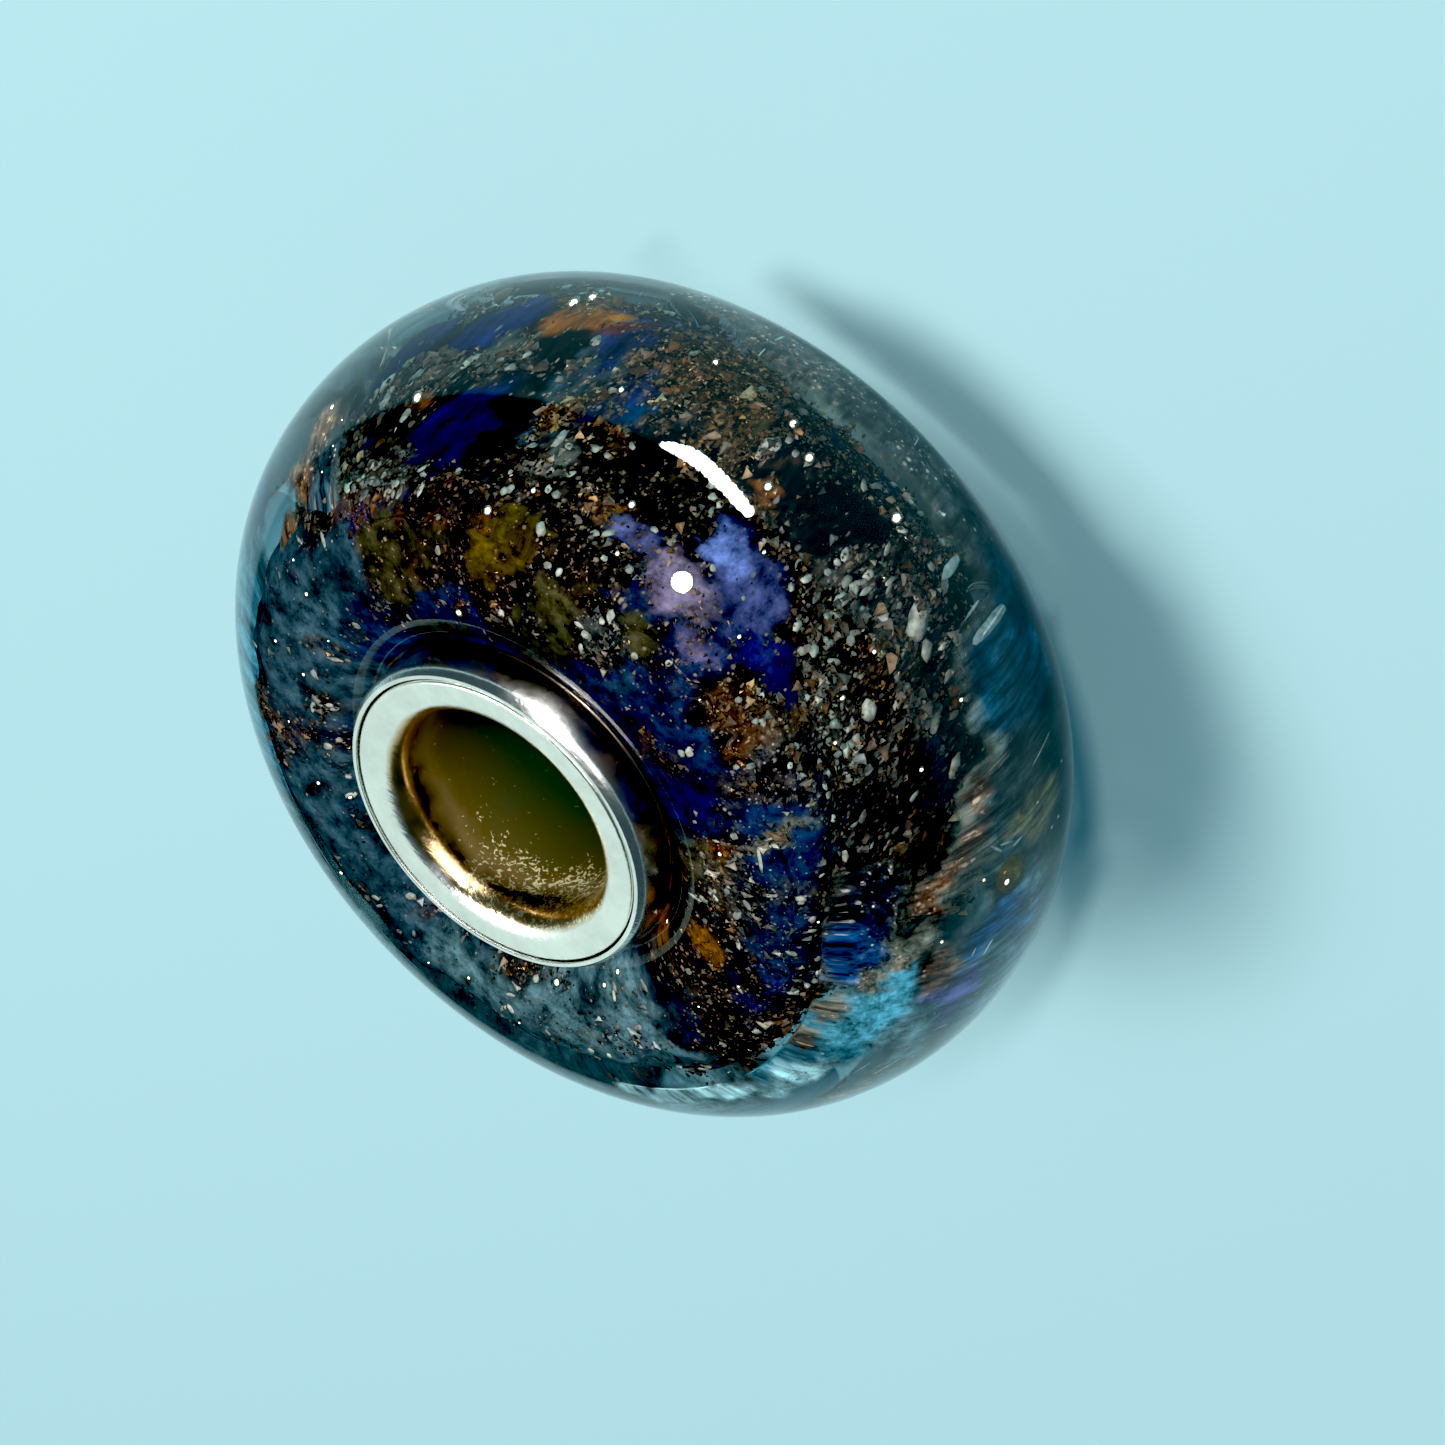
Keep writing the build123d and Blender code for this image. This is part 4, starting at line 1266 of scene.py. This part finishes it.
class BEAD_OT_silver(Operator):
    """Silver tube with flared ends, and the collar under each flare."""

    bl_idname = "bead.silver"
    bl_label = "Silver tube and collars"

    def execute(self, context):
        sizes = context.scene.bead_sizes
        metal = silver_metal(context)
        centre = (sizes.bore_r + sizes.mouth_r, sizes.face_z - sizes.mouth_r)
        tube_r = sizes.bore_r + sizes.tube_wall
        under_z = sizes.face_z - sizes.tube_wall
        edge = sizes.flare_edge
        rim_r = sizes.flare_r - edge

        mouth = arc(centre, sizes.mouth_r, 180, 90, 10)
        rim = arc((rim_r, sizes.face_z - edge), edge, 90, 0, 4)
        rim += arc((rim_r, under_z + edge), edge, 0, -90, 4)
        bend = arc(centre, sizes.mouth_r - sizes.tube_wall, 90, 180, 6)
        wall = line((sizes.bore_r, 0), mouth[0], 10)
        outer = line(bend[-1], (tube_r, 0), 6)
        upper = [(sizes.bore_r, 0)] + wall + mouth + line(mouth[-1], rim[0], 3) + rim + bend + outer
        lower = [(r, -z) for r, z in reversed(upper[1:])]
        tube = lathe("tube_silver", upper + [(tube_r, 0)] + lower, silver_steps)
        refine(tube)
        finish_piece(tube, replaced=["silver_tube"], material=metal)

        hole_r = tube_r + sizes.fit_gap
        recess_r = sizes.flare_r + sizes.fit_gap
        face_r = recess_r + sizes.collar_lip
        recess_z = under_z - sizes.fit_gap
        foot = 0.04 * mm
        soft = 0.02 * mm
        waist_z = sizes.collar_base_z + 2.4 * foot
        foot_ring = arc((sizes.collar_r - 1.6 * foot, sizes.collar_base_z + foot), foot, -90, 60, 5)
        belly_r = sizes.collar_r - face_r
        belly = [(face_r + belly_r * (0.55 + 0.45 * sin(radians(a))) * cos(radians(a * 0.9)) ** 0.5,
                  waist_z + (sizes.face_z - soft - waist_z) * a / 90) for a in range(0, 91, 10)]
        top = arc((face_r - soft, sizes.face_z - soft), soft, 0, 90, 2)
        top += arc((recess_r + soft, sizes.face_z - soft), soft, 90, 180, 2)
        seat = arc(centre, sizes.mouth_r - sizes.tube_wall - sizes.fit_gap, 90, 180, 5)
        recess = [(recess_r, recess_z)]
        outline = [(hole_r, sizes.collar_base_z)] + foot_ring + belly[:-1] + top + recess + seat
        for name, flip in (("collar_silver_top", 1), ("collar_silver_bottom", -1)):
            collar = lathe(name, [(r, z * flip) for r, z in outline], silver_steps)
            refine(collar)
            replaced = "collar_top" if flip > 0 else "collar_bottom"
            finish_piece(collar, replaced=[replaced], material=metal)
        return {"FINISHED"}


def area_lamp(name, place, target, size, radiance, shape="RECTANGLE", along=None, color=(1, 1, 1)):
    """A flat lamp that faces a target. Its long side lies along a direction, where one is given."""
    bpy.ops.object.light_add(type="AREA", location=place)
    lamp = bpy.context.object
    lamp.name = name
    lamp.data.shape = shape
    lamp.data.size, lamp.data.size_y = size
    back = (Vector(place) - Vector(target)).normalized()
    side = Vector(along) if along else Vector((0, 0, 1)).cross(back)
    side = (side - back * side.dot(back)).normalized()
    turned = Matrix((side, back.cross(side), back)).transposed()
    lamp.matrix_world = Matrix.Translation(place) @ turned.to_4x4()
    area = size[0] * size[1] * (pi / 4 if shape == "ELLIPSE" else 1)
    lamp.data.energy = radiance * pi * area
    lamp.data.color = color
    return lamp


# Round lamps in a row that show in the glass as one bent strip: px and py of each one, and its radius.
strip_dots = [
    (663, 445, 3.5), (668, 446, 4.8), (674, 448, 6), (681, 451, 7), (688, 454, 8), (695, 458, 8.5),
    (702, 463, 8.5), (709, 469, 8.5), (716, 476, 8.5), (723, 483, 8.5), (730, 490, 8), (736, 497, 8),
    (742, 504, 7.5), (748, 511, 6.5),
]
silver_pieces = ("tube_silver", "collar_silver_top", "collar_silver_bottom")
inner_pieces = ("core_glass", "veil_streaks_and_painted_shade", "chips_ivory", "grains_frit", "flakes_copper", "wisps", "bubble")
strip_radiance, spot_radiance = 40, 60

# The other lamps, which face the bead's middle. Where each stands is given by the stage. The size is in mm,
# and each lights the listed pieces alone.
Lamp = namedtuple("Lamp", "name size radiance color lights along", defaults=(None,))
card = Lamp("silver_card", (894, 537), 0.80, (0.80, 1.0, 0.93), silver_pieces)
fill = Lamp("core_fill", (300, 300), 3.6, (1.0, 0.90, 0.86), inner_pieces)
window = Lamp("side_window", (330, 240), 3.0, (1.0, 0.97, 0.92), silver_pieces)
torch = Lamp("bore_lamp", (160, 160), 4.0, (1.0, 0.98, 0.85), ("tube_silver",))
over = Lamp("floor_lamp", (110, 110), 9.2, (1, 1, 1), ("floor", "tube_silver"), along=(1, 0, 0))


def light_only(lamp, *names):
    """Lets a lamp light these objects alone, so that it leaves no veil on the clear glass."""
    lit = bpy.data.collections.new("lit_by_" + lamp.name)
    for name in names:
        lit.objects.link(bpy.data.objects[name])
    lamp.light_linking.receiver_collection = lit


class BEAD_OT_stage(Operator):
    """Camera, pale floor and studio lamps."""

    bl_idname = "bead.stage"
    bl_label = "Stage"

    def execute(self, context):
        studio = context.scene.bead_studio
        deselect()
        bpy.ops.object.camera_add()
        camera = context.object
        camera.data.lens = studio.lens
        camera.data.sensor_width = film_width
        camera.data.clip_start, camera.data.clip_end = 1 * mm, 20
        camera.matrix_world = Matrix.Translation(camera_place(studio)) @ camera_axes(studio).to_4x4()
        context.scene.camera = camera

        deselect()
        bpy.ops.mesh.primitive_plane_add(size=6, location=(0, 0, -context.scene.bead_sizes.face_z))
        floor = context.object
        floor.name = "floor"
        bpy.ops.object.transform_apply(location=True, rotation=True, scale=True)
        material, tree, output = new_material("floor")
        shader = tree_node(tree, "BsdfPrincipled", {
            "Base Color": (*studio.floor_color, 1), "Roughness": 0.8,
            "Emission Color": (*studio.glow_color, 1), "Emission Strength": studio.floor_glow})
        tree.links.new(shader.outputs[0], output.inputs["Surface"])
        floor.data.materials.append(material)

        world = bpy.data.worlds.new("room")
        context.scene.world = world
        world.use_nodes = True
        background = world.node_tree.nodes["Background"]
        background.inputs["Color"].default_value = (*studio.sky_color, 1)
        background.inputs["Strength"].default_value = studio.sky_strength
        context.scene.view_settings.view_transform = "Standard"
        context.scene.view_settings.use_curve_mapping = True
        context.scene.view_settings.curve_mapping.black_level = (studio.black_level,) * 3

        sight = Sight()
        for px, py, radius in strip_dots:
            place, target, size, along = sight.lamp_for(px, py, radius, strip_distance)
            strip = area_lamp("strip_lamp", place, target, size, strip_radiance, "ELLIPSE", along=along)
            light_only(strip, "casing_glass", *silver_pieces)
            strip.visible_transmission = False
            strip.visible_camera = False
        place, target, size, along = sight.lamp_for(*spot_at, spot_radius, lamp_distance)
        spot = area_lamp("spot_lamp", place, target, size, spot_radiance, "ELLIPSE", along=along)
        spot.visible_transmission = False

        eye = camera_place(studio)
        far_way = Vector((0, cos(studio.elevation), sin(studio.elevation)))
        side_way = Vector((0.10, -0.95, 0.22)).normalized()
        for lamp, place in (
                (card, far_way * 1.15 * lamp_distance),
                (fill, eye * 2 + Vector((0, 0, 120 * mm))),
                (window, side_way * lamp_distance),
                (torch, eye * 2),
                (over, Vector((100 * mm, 30 * mm, 210 * mm)))):
            size = [side * mm for side in lamp.size]
            made = area_lamp(
                lamp.name, place, (0, 0, 0), size, lamp.radiance, along=lamp.along, color=lamp.color)
            light_only(made, *lamp.lights)
        return {"FINISHED"}


class BEAD_PT_panel(Panel):
    """Lists the bead's sizes, colours and pieces."""

    bl_label = "Charm Bead"
    bl_idname = "BEAD_PT_panel"
    bl_space_type = "VIEW_3D"
    bl_region_type = "UI"
    bl_category = "Charm Bead"

    def draw(self, context):
        for name in groups:
            group = getattr(context.scene, name)
            box = self.layout.box()
            for key in group.bl_rna.properties.keys():
                if key not in ("rna_type", "name"):
                    box.prop(group, key)
        for operator in operators:
            self.layout.operator(operator.bl_idname)


groups = {
    "bead_sizes": BeadSizes, "bead_glass": GlassLook, "bead_silver": SilverLook, "bead_studio": StudioLook}
operators = (BEAD_OT_casing, BEAD_OT_core, BEAD_OT_veil, BEAD_OT_chips, BEAD_OT_grains, BEAD_OT_glitter,
             BEAD_OT_wisps, BEAD_OT_silver, BEAD_OT_stage)


def register():
    for kind in (*groups.values(), *operators, BEAD_PT_panel):
        bpy.utils.register_class(kind)
    for name, kind in groups.items():
        setattr(bpy.types.Scene, name, PointerProperty(type=kind))


def unregister():
    for name in groups:
        delattr(bpy.types.Scene, name)
    for kind in (BEAD_PT_panel, *reversed(operators), *groups.values()):
        bpy.utils.unregister_class(kind)


def main():
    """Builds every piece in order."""
    register()
    bpy.ops.bead.casing()
    bpy.ops.bead.core()
    bpy.ops.bead.veil()
    bpy.ops.bead.chips()
    bpy.ops.bead.grains()
    bpy.ops.bead.glitter()
    bpy.ops.bead.wisps()
    bpy.ops.bead.silver()
    bpy.ops.bead.stage()


if __name__ == "__main__":
    main()
